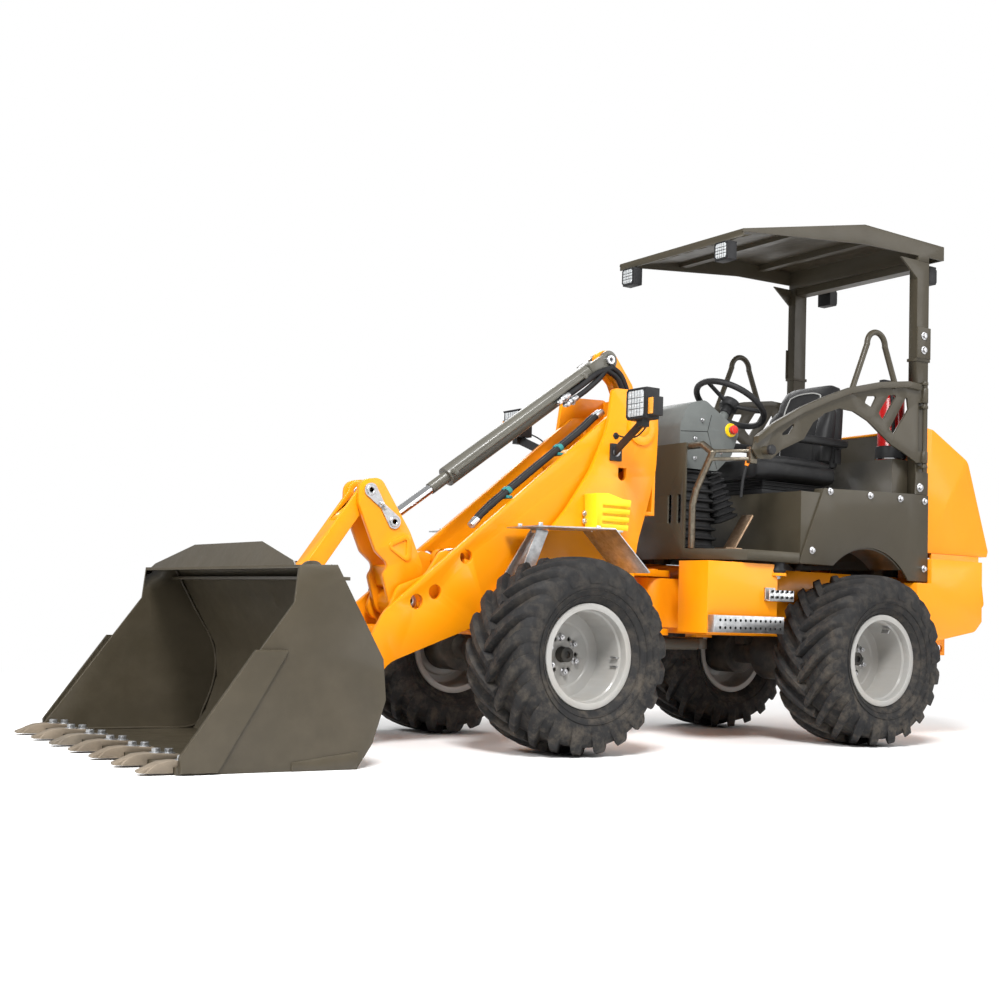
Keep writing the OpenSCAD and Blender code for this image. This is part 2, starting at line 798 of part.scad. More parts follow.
// Box under the seat and the deck behind it
module seat_box() {
  deck_y = panel_y - 60;
  difference() {
    block([-350, -panel_y + 10, 817], [326, panel_y - 10, 1150]);
    block([-342, -panel_y + 18, 800], [318, panel_y - 18, 1142]);
    for (s = [-1, 1]) wheel_well(s, arch_r - 8);
  }
  difference() {
    block([-534, -deck_y, 860], [-341, deck_y, 1360]);
    block([-526, -deck_y + 8, 850], [-349, deck_y - 8, 1352]);
    block([-540, -deck_y + 60, 880], [-500, deck_y - 60, 1300]);
  }
  for (s = [-1, 1]) intersection() {
    difference() {
      wheel_well(s, arch_r);
      wheel_well(s, arch_r - 8);
    }
    block([-345, -panel_y + 10, 817], [326, panel_y - 10, 1000]);
  }
  hood_carrier();
}

// Wall behind the seat with the hood's hinge pins
module hood_carrier() {
  block([-534, -210, 1359], [-524, 210, 1510]);
  blocks([-566, 150, hood_hinge[1] - 16], [-528, 166, hood_hinge[1] + 12]);
  bars(hood_hinge, 18, 140, 200);
}

// Space of a rear wheel under the panel
arch_at = [-115, 566];
arch_r = 346;

module wheel_well(s, r) {
  bar(arch_at, 2 * r, s > 0 ? chassis_half + 6 : -panel_y - 5, s > 0 ? panel_y + 5 : -chassis_half - 6);
}

// Feet and cross members between chassis and platform
module chassis_mounts() {
  blocks([600, chassis_half - 60, 806], [660, chassis_half + 40, 858]);
  block([-440, -panel_y + 62, 870], [-380, panel_y - 62, 886]);
  blocks([-440, chassis_half - 18, 790], [-380, chassis_half, 872]);
  block([250, -chassis_half, 817], [320, chassis_half, 830]);
  blocks([250, chassis_half - 18, 790], [310, chassis_half, 818]);
}

panel_outline = concat([[189, 1172], [338, 824], [332, 817]], arc(arch_at, arch_r, 46.5, 144.3, 14),
  [[-534, 768], [-534, 1190], [-414, 1190]]);

module side_panels() {
  color([0.27, 0.26, 0.21])
  rear() {
    plates(panel_outline, panel_y - 10, panel_y);
    plates([[189, 1172], [199, 1151], [-440, 1160], [-440, 1190], [-414, 1190]], panel_y - 60, panel_y - 9);
  }
}

// Console and steering wheel

console_outline = rounded([[790, 1240], [790, 1440], [740, 1540], [640, 1568], [560, 1520], [420, 1440],
  [470, 1320], [560, 1240]], [20, 60, 60, 50, 30, 30, 30, 20]);
column_axis = [371, 1590];
column_tilt = 32;

module console() {
  color([0.42, 0.44, 0.43])
  rear() {
    difference() {
      plate(console_outline, -125, 125);
      plate(rounded([[778, 1230], [778, 1436], [734, 1528], [640, 1556], [566, 1508], [436, 1436],
        [480, 1326], [564, 1230]], [10, 50, 50, 40, 20, 20, 20, 10]), -115, 115);
    }
    translate([column_axis[0], 0, column_axis[1]]) rotate([0, -column_tilt, 0])
      translate([0, 0, -230]) cylinder(d = 44, h = 170);
  }
  color([0.9, 0.6, 0.05])
  rear() translate([480, 124, 1440]) rotate([-90, 0, 0]) {
    cylinder(d = 62, h = 10);
    translate([0, 0, 10]) cylinder(d = 38, h = 26);
  }
}

module bellows() {
  color([0.06, 0.06, 0.06])
  rear() {
    for (k = [0:5]) {
      block([548 - k * 8, -118 - k * 6, 872 + (5 - k) * 62], [792, 118 + k * 6, 872 + (5 - k) * 62 + 36]);
      if (k < 5)
        block([568 - k * 8, -100 - k * 6, 872 + (5 - k) * 62 - 30], [780, 100 + k * 6, 872 + (5 - k) * 62 + 2]);
    }
    block([540, -112, 1216], [786, 112, 1240]);
    block([500, -140, 865], [790, 140, 876]);
  }
}

module steering_wheel() {
  color([0.05, 0.05, 0.05])
  rear() translate([column_axis[0], 0, column_axis[1]]) rotate([0, -column_tilt, 0]) {
    rotate_extrude($fn = 64) translate([wheel_d / 2 - 15, 0]) circle(d = 30, $fn = 20);
    translate([0, 0, -26]) cylinder(d = 90, h = 40);
    for (a = [0, 120, 240]) rotate([0, 0, a]) rod([30, 0, -6], [wheel_d / 2 - 16, 0, 0], 20);
    translate([0, 0, -60]) cylinder(d = 56, h = 36);
  }
}

// Seat

module seat() {
  half = seat_w / 2;
  color([0.07, 0.07, 0.07])
  rear() {
    block([-120, -half + 60, 1150], [310, half - 60, 1215]);
    plate(rounded([[380, 1210], [395, 1300], [330, 1335], [-130, 1300], [-140, 1210]], [30, 30, 40, 20, 20]),
      -half, half);
    plate(rounded([[-90, 1300], [-30, 1320], [-110, 1560], [-150, 1720], [-215, 1740], [-235, 1660],
      [-200, 1300]], [20, 40, 120, 40, 40, 60, 20]), -half + 10, half - 10);
    plates(rounded([[-60, 1290], [60, 1300], [-60, 1420], [-110, 1600], [-170, 1600], [-150, 1300]], 30),
      half - 60, half);
    blocks([-160, half - 4, 1400], [180, half + 50, 1445]);
    blocks([-170, half - 20, 1390], [-120, half + 30, 1450]);
  }
}

// Side guards that swing on the posts

guard_top = [[640, 1352], [520, 1432], [360, 1516], [205, 1582], [50, 1640], [-146, 1688], [-349, 1716], [-440, 1712]];
guard_low = [[-440, 1340], [-328, 1388], [-252, 1412], [-191, 1449], [-83, 1513], [15, 1547], [112, 1551],
  [206, 1518], [280, 1467], [339, 1385], [477, 1323], [540, 1275], [620, 1270], [655, 1310]];
guard_hinge = [-480, panel_y + 16];

// Band of a given height hung below a row of points
function band(pts, h) = concat(pts, [for (i = [len(pts) - 1:-1:0]) pts[i] - [0, h]]);

module guard() {
  y_in = panel_y + 2;
  difference() {
    union() {
      plate(concat(guard_top, guard_low), y_in, y_in + 10);
      plate(band([for (p = guard_top) p + [0, 16]], 30), y_in - 1, y_in + 29);
      block([-496, y_in, 1345], [-436, y_in + 10, 1400]);
      block([-496, y_in, 1640], [-436, y_in + 10, 1712]);
      translate([guard_hinge[0], guard_hinge[1], 1345]) cylinder(d = 34, h = 55);
      translate([guard_hinge[0], guard_hinge[1], 1640]) cylinder(d = 34, h = 72);
    }
    plate(rounded([[-60, 1596], [-78, 1630], [-144, 1638], [-108, 1580]], 6, 2), y_in - 20, y_in + 40);
    plate(rounded([[-156, 1557], [-228, 1652], [-285, 1658], [-190, 1528]], 6, 2), y_in - 20, y_in + 40);
    plate(rounded([[-234, 1491], [-357, 1664], [-369, 1598], [-265, 1466]], 6, 2), y_in - 20, y_in + 40);
    plate(rounded([[430, 1400], [500, 1380], [380, 1470]], 6, 2), y_in - 20, y_in + 40);
    translate([guard_hinge[0], guard_hinge[1], 1300]) cylinder(d = 19, h = 450);
  }
  bar([585, 1310], 40, y_in + 9, y_in + 46);
  hoop(y_in + 14);
}

// Grab hoop on the guard's rail
module hoop(y) {
  bend = 62;
  top = [-128, 1880];
  translate([top[0], y, top[1]]) rotate([90, 0, 0])
    rotate_extrude(angle = 180, $fn = 48) translate([bend, 0]) circle(d = 28, $fn = 24);
  for (e = [-1, 1]) translate([top[0] + e * bend, y, top[1]]) sphere(d = 29);
  rod([top[0] + bend, y, top[1]], [40, y, 1634], 28);
  rod([top[0] - bend, y, top[1]], [-272, y, 1690], 28);
}

module guard_left() {
  color([0.27, 0.26, 0.21]) rear() guard();
}

module guard_right() {
  color([0.27, 0.26, 0.21]) rear() mirror([0, 1, 0]) guard();
}

// Entry handrails with the guard catch

module handrail() {
  tube([[796, 130, 1330], [796, 290, 1330], [792, 350, 1290], [794, 250, 1130], [794, 226, 1060], [794, 226, 866]], 32);
  for (z = [1270, 1306]) rod([792, 342, z - 8], [640, panel_y - 20, z], 16);
  block([610, panel_y - 32, 1250], [650, panel_y - 6, 1324]);
  block([791, 126, 1314], [812, 158, 1346]);
}

module handrails() {
  color([0.33, 0.31, 0.27])
  rear() {
    handrail();
    mirror([0, 1, 0]) handrail();
  }
}

// Canopy

module canopy_post() {
  difference() {
    block([post_rear_r, panel_y - 60, 900], [post_front_r, panel_y - 10, roof_h - 110]);
    block([post_rear_r + 6, panel_y - 54, 890], [post_front_r - 6, panel_y - 16, roof_h - 120]);
  }
  block([post_rear_r - 6, panel_y - 66, 1850], [post_front_r + 6, panel_y - 4, 1865]);
  block([post_rear_r - 6, panel_y - 10, 1865], [post_front_r + 6, panel_y - 1, 2020]);
  block([post_rear_r + 4, panel_y - 11, 1192], [post_front_r + 8, panel_y, 1300]);
  for (z = [1318, 1612, 1728]) {
    block([guard_hinge[0] - 14, panel_y - 11, z], [guard_hinge[0] + 14, guard_hinge[1], z + 14]);
    translate([guard_hinge[0], guard_hinge[1], z]) cylinder(d = 34, h = 14);
  }
  translate([guard_hinge[0], guard_hinge[1], 1300]) cylinder(d = 18, h = 448);
  plate([[post_rear_r, roof_h - 120], [post_front_r, roof_h - 200], [post_front_r + 120, roof_h - 110],
    [post_rear_r, roof_h - 110]], panel_y - 20, panel_y - 10);
}

module canopy_posts() {
  color([0.25, 0.24, 0.19])
  rear() {
    canopy_post();
    mirror([0, 1, 0]) canopy_post();
    block([post_rear_r + 10, -panel_y + 40, roof_h - 150], [post_front_r - 10, panel_y - 40, roof_h - 111]);
  }
}

roof_half = panel_y - 8;
roof_front = [721, roof_h - 160];
roof_ridge = [-67, roof_h];
roof_rear = [-642, roof_h - 12];

module canopy_roof() {
  color([0.27, 0.26, 0.21])
  rear() difference() {
    union() {
      plate([roof_front, roof_ridge, roof_rear, roof_rear - [0, 10], roof_ridge - [0, 10], roof_front - [0, 10]],
        -roof_half, roof_half);
      plates([roof_front, roof_ridge, roof_rear, roof_rear - [0, 70], roof_ridge - [0, 95],
        roof_front - [-4, 14]], roof_half - 8, roof_half);
      plate([roof_front, roof_front + [0, -34], roof_front + [-8, -34], roof_front + [-8, -2]], -roof_half, roof_half);
      plate([roof_rear, roof_rear + [0, -70], roof_rear + [8, -70], roof_rear + [8, 0]], -roof_half, roof_half);
      for (x = [300, -250]) block([x, -roof_half, roof_z(x) - 40], [x + 40, roof_half, roof_z(x + 40) - 6]);
      block([post_rear_r + 4, -roof_half, roof_h - 110], [post_front_r - 4, roof_half, roof_h - 14]);
    }
    for (k = [-3:3]) block([560, k * 100 - 32, roof_h - 260], [620, k * 100 + 32, roof_h]);
  }
}

// Height of the roof's top at a place along it
function roof_z(x) = x > roof_ridge[0]
  ? roof_front[1] + (roof_front[0] - x) * 160 / (roof_front[0] - roof_ridge[0])
  : roof_ridge[1] - (roof_ridge[0] - x) * 12 / (roof_ridge[0] - roof_rear[0]);

module work_lamps() {
  color([0.1, 0.1, 0.1])
  rear() for (s = [-1, 1]) {
    block([700, s * 335 - 45, roof_h - 290], [750, s * 335 + 45, roof_h - 205]);
    block([708, s * 335 - 12, roof_h - 206], [722, s * 335 + 12, roof_h - 194]);
    block([-660, s * 335 - 45, roof_h - 190], [-610, s * 335 + 45, roof_h - 100]);
    block([-642, s * 335 - 12, roof_h - 101], [-630, s * 335 + 12, roof_h - 82]);
  }
}

// Hood, counterweight and engine

hood_outline = rounded([[-544, 912], [-544, 1530], [-600, 1524], [-868, 1388], [-1031, 940], [-1020, 912]],
  [0, 10, 30, 60, 20, 4]);
hood_hollow = rounded([[-530, 900], [-530, 1518], [-604, 1510], [-858, 1380], [-1017, 940], [-1008, 900]],
  [0, 8, 24, 50, 16, 0]);

module hood() {
  half = hood_w / 2;
  color([1.0, 0.62, 0.02])
  rear() difference() {
    union() {
      difference() {
        plate(hood_outline, -half, half);
        plate(hood_hollow, -half + 12, half - 12);
      }
      blocks([-575, 172, 1506], [-552, 190, 1525]);
      bars(hood_hinge, 28, 172, 190);
    }
    bars(hood_hinge, 19, 130, 220);
    blocks([-592, 138, 1490], [-530, 171, 1545]);
    for (k = [0:6]) block([-1060, -260, 990 + k * 46], [-880, 260, 1010 + k * 46]);
  }
}

weight_outline = rounded([[-436, 500], [-436, 760], [-540, 760], [-540, 880], [-985, 880], [-1001, 660],
  [-869, 532], [-569, 480]], [20, 8, 0, 4, 24, 40, 60, 60]);

module counterweight() {
  half = weight_w / 2;
  color([1.0, 0.62, 0.02])
  rear() difference() {
    plate(weight_outline, -half, half);
    plate([[-400, 470], [-400, 900], [-762, 900], [-762, 470]], -chassis_half - 12, chassis_half + 12);
    for (s = [-1, 1]) translate([-985, s * half, 400]) rotate([0, 0, 45]) cube([90, 90, 1200], center = true);
  }
  color([0.05, 0.05, 0.05])
  rear() blocks([-960, hood_w / 2 - 14, 879], [-600, hood_w / 2 - 2, 911]);
}

module engine_block() {
  color([0.15, 0.15, 0.15])
  rear() {
    block([-750, -210, 640], [-560, 210, 1240]);
    block([-700, -220, 640], [-540, 220, 660]);
  }
}

module extinguisher() {
  color([0.75, 0.05, 0.05])
  rear() translate([-430, 300, 1360]) {
    translate([0, 0, 8]) cylinder(d = 130, h = 300);
    translate([0, 0, 308]) cylinder(d1 = 130, d2 = 50, h = 40);
    translate([0, 0, 348]) cylinder(d = 40, h = 40);
    block([-30, -14, 380], [70, 14, 400]);
    cylinder(d = 146, h = 70);
  }
}

// Steps under the platform

module step_pair() {
  block([444, side_box_y, 495], [864, side_box_y + 40, 503]);
  block([444, side_box_y + 34, 495], [864, side_box_y + 40, 570]);
  block([444, side_box_y, 495], [452, side_box_y + 40, 570]);
  block([856, side_box_y, 495], [864, side_box_y + 40, 570]);
  block([470, side_box_y, 640], [531, side_box_y + 8, 700]);
  block([380, side_box_y, 640], [531, side_box_y + 34, 648]);
  block([380, side_box_y + 28, 640], [531, side_box_y + 34, 690]);
}

module steps() {
  color([0.62, 0.64, 0.66])
  rear() {
    step_pair();
    mirror([0, 1, 0]) step_pair();
  }
}

module pedals() {
  color([0.35, 0.25, 0.17])
  rear() for (y = [-270, 270]) {
    block([560, y - 40, 865], [660, y + 40, 876]);
    translate([600, y, 872]) rotate([0, -35, 0]) block([0, -36, 0], [10, 36, 190]);
  }
}

module tow_hitch() {
  color([1.0, 0.62, 0.02])
  rear() difference() {
    union() {
      plate([[-780, 420], [-764, 420], [-764, 513.8], [-780, 516.573]], -60, 60);
      block([-930, -60, 484], [-764, 60, 500]);
      block([-930, -60, 420], [-764, 60, 436]);
      for (y = [310, 360]) plates([[-760, 410], [-690, 410], [-690, 500.973], [-760, 513.107]], y, y + 14);
    }
    translate([-890, 0, 400]) cylinder(d = 31, h = 130);
    bars([-725, 445], 36, 300, 400);
  }
}

// Steering cylinder

module steer_barrel() {
  a = [rear_pivot_r + steer_base_at[0], steer_base_at[1]];
  b = [rear_pivot_r + steer_rod_at[0], steer_rod_at[1]];
  turn = atan2(b[1] - a[1], b[0] - a[0]);
  color([0.12, 0.12, 0.12])
  rear() translate([a[0], a[1], steer_z]) rotate([0, 0, turn]) difference() {
    union() {
      rotate([0, 90, 0]) translate([0, 0, 26]) cylinder(d = 60, h = 334);
      translate([0, 0, -24]) cylinder(d = 64, h = 48);
    }
    rotate([0, 90, 0]) translate([0, 0, 60]) cylinder(d = 46, h = 270);
    rotate([0, 90, 0]) translate([0, 0, 300]) cylinder(d = 31, h = 100);
  }
  color([0.7, 0.72, 0.74])
  rear() translate([a[0], a[1], steer_z - 24]) cylinder(d = 30, h = 72);
}

module steer_rod() {
  a = [rear_pivot_r + steer_base_at[0], steer_base_at[1]];
  b = [rear_pivot_r + steer_rod_at[0], steer_rod_at[1]];
  turn = atan2(b[1] - a[1], b[0] - a[0]);
  span = norm(b - a);
  color([0.8, 0.82, 0.84])
  rear() translate([b[0], b[1], steer_z]) rotate([0, 0, turn]) difference() {
    union() {
      rotate([0, 90, 0]) translate([0, 0, -430]) cylinder(d = 30, h = 410);
      rotate([0, 90, 0]) translate([0, 0, -440]) cylinder(d = 44, h = 30);
      translate([0, 0, -20]) cylinder(d = 60, h = 38);
    }
    translate([0, 0, -60]) cylinder(d = 12, h = 120);
  }
}

front_frame();
front_axle();
headlamps();
fender_brackets();
wheel_chock();
boom();
boom_hoses();
lever();
link();
tilt_barrel();
tilt_rod();
lift_barrel();
lift_rod();
bucket_pin();
lever_pin();
link_pin();
tilt_pin();
bucket();
bucket_teeth();
coupler();
tyre_fl();
tyre_fr();
tyre_rl();
tyre_rr();
rim_fl();
rim_fr();
rim_rl();
rim_rr();
rear_frame();
rear_axle();
platform();
side_panels();
console();
bellows();
steering_wheel();
seat();
guard_left();
guard_right();
handrails();
canopy_posts();
canopy_roof();
work_lamps();
hood();
counterweight();
engine_block();
extinguisher();
steps();
pedals();
tow_hitch();
steer_barrel();
steer_rod();
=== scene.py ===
"""Looks of a compact articulated wheel loader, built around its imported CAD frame."""
import math

import bmesh
import bpy
from mathutils import Matrix, Vector


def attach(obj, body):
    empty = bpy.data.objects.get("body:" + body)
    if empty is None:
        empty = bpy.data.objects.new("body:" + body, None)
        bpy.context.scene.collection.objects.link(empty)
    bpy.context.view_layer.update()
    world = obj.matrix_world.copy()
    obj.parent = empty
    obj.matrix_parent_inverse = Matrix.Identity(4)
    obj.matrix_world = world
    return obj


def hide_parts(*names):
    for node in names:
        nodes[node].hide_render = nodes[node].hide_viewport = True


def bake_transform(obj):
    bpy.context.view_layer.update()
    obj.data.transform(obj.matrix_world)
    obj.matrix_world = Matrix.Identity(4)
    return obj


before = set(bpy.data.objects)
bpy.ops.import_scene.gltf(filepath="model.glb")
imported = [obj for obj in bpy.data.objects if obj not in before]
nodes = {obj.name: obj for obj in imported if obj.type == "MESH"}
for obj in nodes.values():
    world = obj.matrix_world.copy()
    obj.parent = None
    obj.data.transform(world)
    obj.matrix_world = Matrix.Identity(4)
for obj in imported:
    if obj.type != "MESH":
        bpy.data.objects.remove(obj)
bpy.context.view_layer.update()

# Places of the two halves in the frame, in millimetres
FRONT_AXLE_X = 445.0
REAR_AXLE_X = -1225.0
AXLE_Z = 390.0
TYRE_MID_Y = 495.0
TOWER_OUT = 197.0
PANEL_Y = 450.0
ROOF_TOP = 2462.0


def fp(x, y, z):
    """A point given from the front axle and the ground, in millimetres."""
    return Vector(((x + FRONT_AXLE_X) / 1000, y / 1000, z / 1000))


def rp(x, y, z):
    """A point given from the rear axle and the ground, in millimetres."""
    return Vector(((x + REAR_AXLE_X) / 1000, y / 1000, z / 1000))


# Materials


class Nodes:
    """Short way to build one material's node tree."""

    def __init__(self, name):
        self.material = bpy.data.materials.new(name)
        self.material.use_nodes = True
        self.tree = self.material.node_tree
        self.shader = self.tree.nodes["Principled BSDF"]
        self.place = self.add("ShaderNodeTexCoord").outputs["Object"]

    def add(self, kind, **values):
        node = self.tree.nodes.new(kind)
        for key, value in values.items():
            setattr(node, key, value)
        return node

    def link(self, a, b):
        self.tree.links.new(a, b)

    def noise(self, scale, detail=4.0, rough=0.55):
        node = self.add("ShaderNodeTexNoise")
        node.inputs["Scale"].default_value = scale
        node.inputs["Detail"].default_value = detail
        node.inputs["Roughness"].default_value = rough
        self.link(self.place, node.inputs["Vector"])
        return node.outputs["Fac"]

    def span(self, value, low, high, to_low=0.0, to_high=1.0):
        node = self.add("ShaderNodeMapRange")
        node.inputs["From Min"].default_value = low
        node.inputs["From Max"].default_value = high
        node.inputs["To Min"].default_value = to_low
        node.inputs["To Max"].default_value = to_high
        self.link(value, node.inputs["Value"])
        return node.outputs["Result"]

    def math(self, kind, a, b):
        node = self.add("ShaderNodeMath", operation=kind)
        for socket, value in zip(node.inputs, (a, b)):
            if isinstance(value, (int, float)):
                socket.default_value = value
            else:
                self.link(value, socket)
        return node.outputs["Value"]

    def mix(self, factor, a, b):
        node = self.add("ShaderNodeMix", data_type="RGBA")
        self.link(factor, node.inputs["Factor"])
        for socket, value in ((node.inputs["A"], a), (node.inputs["B"], b)):
            if isinstance(value, tuple):
                socket.default_value = (*value, 1.0)
            else:
                self.link(value, socket)
        return node.outputs["Result"]

    def height(self):
        node = self.add("ShaderNodeSeparateXYZ")
        self.link(self.place, node.inputs["Vector"])
        return node.outputs["Z"]

    def edges(self, radius):
        """One on convex and concave edges, zero on flat faces."""
        bevel = self.add("ShaderNodeBevel", samples=4)
        bevel.inputs["Radius"].default_value = radius
        geometry = self.add("ShaderNodeNewGeometry")
        dot = self.add("ShaderNodeVectorMath", operation="DOT_PRODUCT")
        self.link(bevel.outputs["Normal"], dot.inputs[0])
        self.link(geometry.outputs["Normal"], dot.inputs[1])
        return self.span(dot.outputs["Value"], 0.98, 0.8)

    def bump(self, value, strength, distance):
        node = self.add("ShaderNodeBump")
        node.inputs["Strength"].default_value = strength
        node.inputs["Distance"].default_value = distance
        self.link(value, node.inputs["Height"])
        self.link(node.outputs["Normal"], self.shader.inputs["Normal"])

    def colour(self, value):
        self.link(value, self.shader.inputs["Base Color"])

    def rough(self, value):
        self.link(value, self.shader.inputs["Roughness"])

    def set(self, **values):
        for key, value in values.items():
            self.shader.inputs[key.replace("_", " ")].default_value = value
        return self.material


DUST = (0.33, 0.27, 0.2)


def paint(name, colour, shade, rough=(0.3, 0.45), coat=0.25, dust=0.25, wear=(0.12, 0.11, 0.1), worn=0.35):
    """Sprayed paint with soft shade changes, dust low down and rubbed edges."""
    n = Nodes(name)
    cloud = n.span(n.noise(2.2, 5.0), 0.3, 0.7)
    base = n.mix(cloud, colour, shade)
    specks = n.span(n.noise(38.0, 6.0, 0.7), 0.52, 0.75)
    rub = n.math("MULTIPLY", n.edges(0.004), n.math("MULTIPLY", specks, worn))
    base = n.mix(rub, base, wear)
    low = n.span(n.height(), 1.1, 0.05)
    film = n.math("MULTIPLY", n.span(n.noise(7.0, 6.0, 0.65), 0.4, 0.75), n.math("MULTIPLY", low, dust))
    n.colour(n.mix(film, base, DUST))
    n.rough(n.span(n.noise(12.0, 5.0), 0.3, 0.7, rough[0], rough[1]))
    n.bump(n.noise(420.0, 2.0), 0.04, 0.0006)
    return n.set(Coat_Weight=coat, Coat_Roughness=0.12, Specular_IOR_Level=0.26)


def metal(name, colour, shade, rough=(0.25, 0.4), metallic=1.0, scale=60.0):
    """Bare or plated metal with blotches."""
    n = Nodes(name)
    blotch = n.span(n.noise(scale, 6.0, 0.6), 0.35, 0.65)
    n.colour(n.mix(blotch, colour, shade))
    n.rough(n.span(n.noise(scale * 2, 4.0, 0.6), 0.3, 0.7, rough[0], rough[1]))
    n.bump(n.noise(scale * 4, 2.0, 0.5), 0.08, 0.0005)
    return n.set(Metallic=metallic)


def soft_black(name, colour, shade, rough=(0.55, 0.75), scale=260.0, bump=0.25, depth=0.0008, dust=0.0):
    """Rubber, vinyl or moulded plastic with a fine grain and a little dust."""
    n = Nodes(name)
    cloud = n.span(n.noise(9.0, 6.0, 0.65), 0.35, 0.7)
    base = n.mix(cloud, colour, shade)
    if dust:
        low = n.span(n.height(), 0.85, 0.0, 0.25, 1.0)
        patch = n.span(n.noise(16.0, 7.0, 0.7), 0.46, 0.72)
        base = n.mix(n.math("MULTIPLY", patch, n.math("MULTIPLY", low, dust)), base, DUST)
    n.colour(base)
    n.rough(n.span(n.noise(30.0, 5.0), 0.3, 0.7, rough[0], rough[1]))
    n.bump(n.noise(scale, 3.0, 0.6), bump, depth)
    return n.set(Specular_IOR_Level=0.2)


def lens(name, colour):
    """Moulded clear or coloured lamp lens with fine flutes."""
    n = Nodes(name)
    n.colour(n.mix(n.span(n.noise(220.0, 2.0), 0.4, 0.6), colour, tuple(0.72 * c for c in colour)))
    n.bump(n.noise(320.0, 1.0), 0.3, 0.001)
    return n.set(Roughness=0.12, Coat_Weight=0.8, Coat_Roughness=0.05)


yellow = paint("loader_yellow", (0.84, 0.282, 0.0015), (0.79, 0.26, 0.0015), coat=0.15, dust=0.03, worn=0.2)
olive = paint("olive_grey", (0.05, 0.042, 0.027), (0.044, 0.037, 0.025), (0.36, 0.5), 0.08, 0.1,
              (0.16, 0.145, 0.12), 0.4)
bucket_olive = paint("bucket_olive", (0.05, 0.041, 0.026), (0.045, 0.037, 0.024), (0.34, 0.48), 0.1, 0.06,
                     (0.2, 0.18, 0.15), 0.6)
grey_green = paint("cylinder_grey", (0.1, 0.096, 0.078), (0.085, 0.08, 0.066), (0.32, 0.46), 0.2, 0.1)
red = paint("extinguisher_red", (0.5, 0.012, 0.012), (0.42, 0.01, 0.01), (0.22, 0.32), 0.5, 0.05)
chock_yellow = paint("chock_yellow", (0.85, 0.56, 0.01), (0.8, 0.5, 0.008), (0.4, 0.55), 0.1, 0.06)
rim_silver = paint("rim_silver", (0.36, 0.355, 0.34), (0.3, 0.295, 0.28), (0.3, 0.42), 0.25, 0.35)
iron = paint("black_iron", (0.03, 0.029, 0.027), (0.02, 0.02, 0.019), (0.5, 0.65), 0.0, 0.4)
tooth_steel = paint("tooth_steel", (0.13, 0.11, 0.085), (0.17, 0.13, 0.09), (0.42, 0.6), 0.0, 0.5,
                    (0.4, 0.33, 0.26), 1.0)
zinc = metal("galvanised", (0.62, 0.63, 0.64), (0.42, 0.43, 0.44), (0.3, 0.5), scale=34.0)
steel = metal("bright_steel", (0.6, 0.6, 0.61), (0.45, 0.45, 0.46), (0.25, 0.4))
chrome = metal("chrome", (0.78, 0.79, 0.8), (0.72, 0.73, 0.74), (0.06, 0.14))
bronze = metal("pedal_bronze", (0.42, 0.29, 0.19), (0.3, 0.2, 0.13), (0.35, 0.5))
rubber = soft_black("tyre_rubber", (0.014, 0.014, 0.015), (0.024, 0.023, 0.022), (0.62, 0.85),
                    300.0, 0.3, 0.001, 0.22)
hose_black = soft_black("hose_black", (0.012, 0.012, 0.013), (0.02, 0.02, 0.02), (0.45, 0.6),
                        700.0, 0.3, 0.0006)
plastic = soft_black("black_plastic", (0.016, 0.016, 0.017), (0.024, 0.024, 0.025), (0.45, 0.6),
                     520.0, 0.25, 0.0005)
vinyl = soft_black("seat_vinyl", (0.014, 0.014, 0.015), (0.022, 0.022, 0.022), (0.4, 0.55),
                   380.0, 0.35, 0.0008)
console_grey = soft_black("console_grey", (0.125, 0.135, 0.13), (0.105, 0.113, 0.11), (0.5, 0.62),
                          600.0, 0.3, 0.0005)
piping = soft_black("piping_grey", (0.36, 0.36, 0.35), (0.3, 0.3, 0.29), (0.5, 0.65))
teal = soft_black("clip_teal", (0.03, 0.2, 0.2), (0.025, 0.16, 0.16), (0.45, 0.6))
orange = soft_black("lever_orange", (0.85, 0.24, 0.02), (0.75, 0.2, 0.02), (0.35, 0.5))
stop_red = soft_black("stop_red", (0.62, 0.03, 0.02), (0.55, 0.025, 0.02), (0.28, 0.4))
clear_lens = lens("clear_lens", (0.5, 0.52, 0.53))
amber_lens = lens("amber_lens", (0.86, 0.33, 0.03))
worn_tube = metal("worn_tube", (0.2, 0.175, 0.135), (0.12, 0.105, 0.08), (0.28, 0.42), metallic=0.85)
# Near-black painted shade, standing in for the shade inside the console seams and the holes in the steps
gap_shade_black = soft_black("painted_gap_shade", (0.006, 0.006, 0.006), (0.01, 0.01, 0.01), (0.8, 0.9))

NODE_FINISH = {
    yellow: ["front_frame", "boom", "lever", "link", "rear_frame", "hood", "counterweight", "tow_hitch"],
    chock_yellow: ["wheel_chock"],
    bucket_olive: ["bucket", "coupler"],
    olive: ["platform", "side_panels", "guard_left", "guard_right", "canopy_posts", "canopy_roof"],
    worn_tube: ["handrails"],
    grey_green: ["tilt_barrel", "lift_barrel", "steer_barrel"],
    tooth_steel: ["bucket_teeth"],
    iron: ["front_axle", "rear_axle", "engine_block"],
    zinc: ["fender_brackets", "steps"],
    steel: ["bucket_pin", "lever_pin", "link_pin", "tilt_pin"],
    chrome: ["tilt_rod", "lift_rod", "steer_rod"],
    rubber: ["tyre_fl", "tyre_fr", "tyre_rl", "tyre_rr"],
    rim_silver: ["rim_fl", "rim_fr", "rim_rl", "rim_rr"],
    hose_black: ["boom_hoses", "bellows"],
    console_grey: ["console"],
    plastic: ["steering_wheel", "headlamps", "work_lamps"],
    vinyl: ["seat"],
    red: ["extinguisher"],
    bronze: ["pedals"],
}
EDGE_BREAK = 0.0022
SMOOTH_ANGLE = math.radians(35)


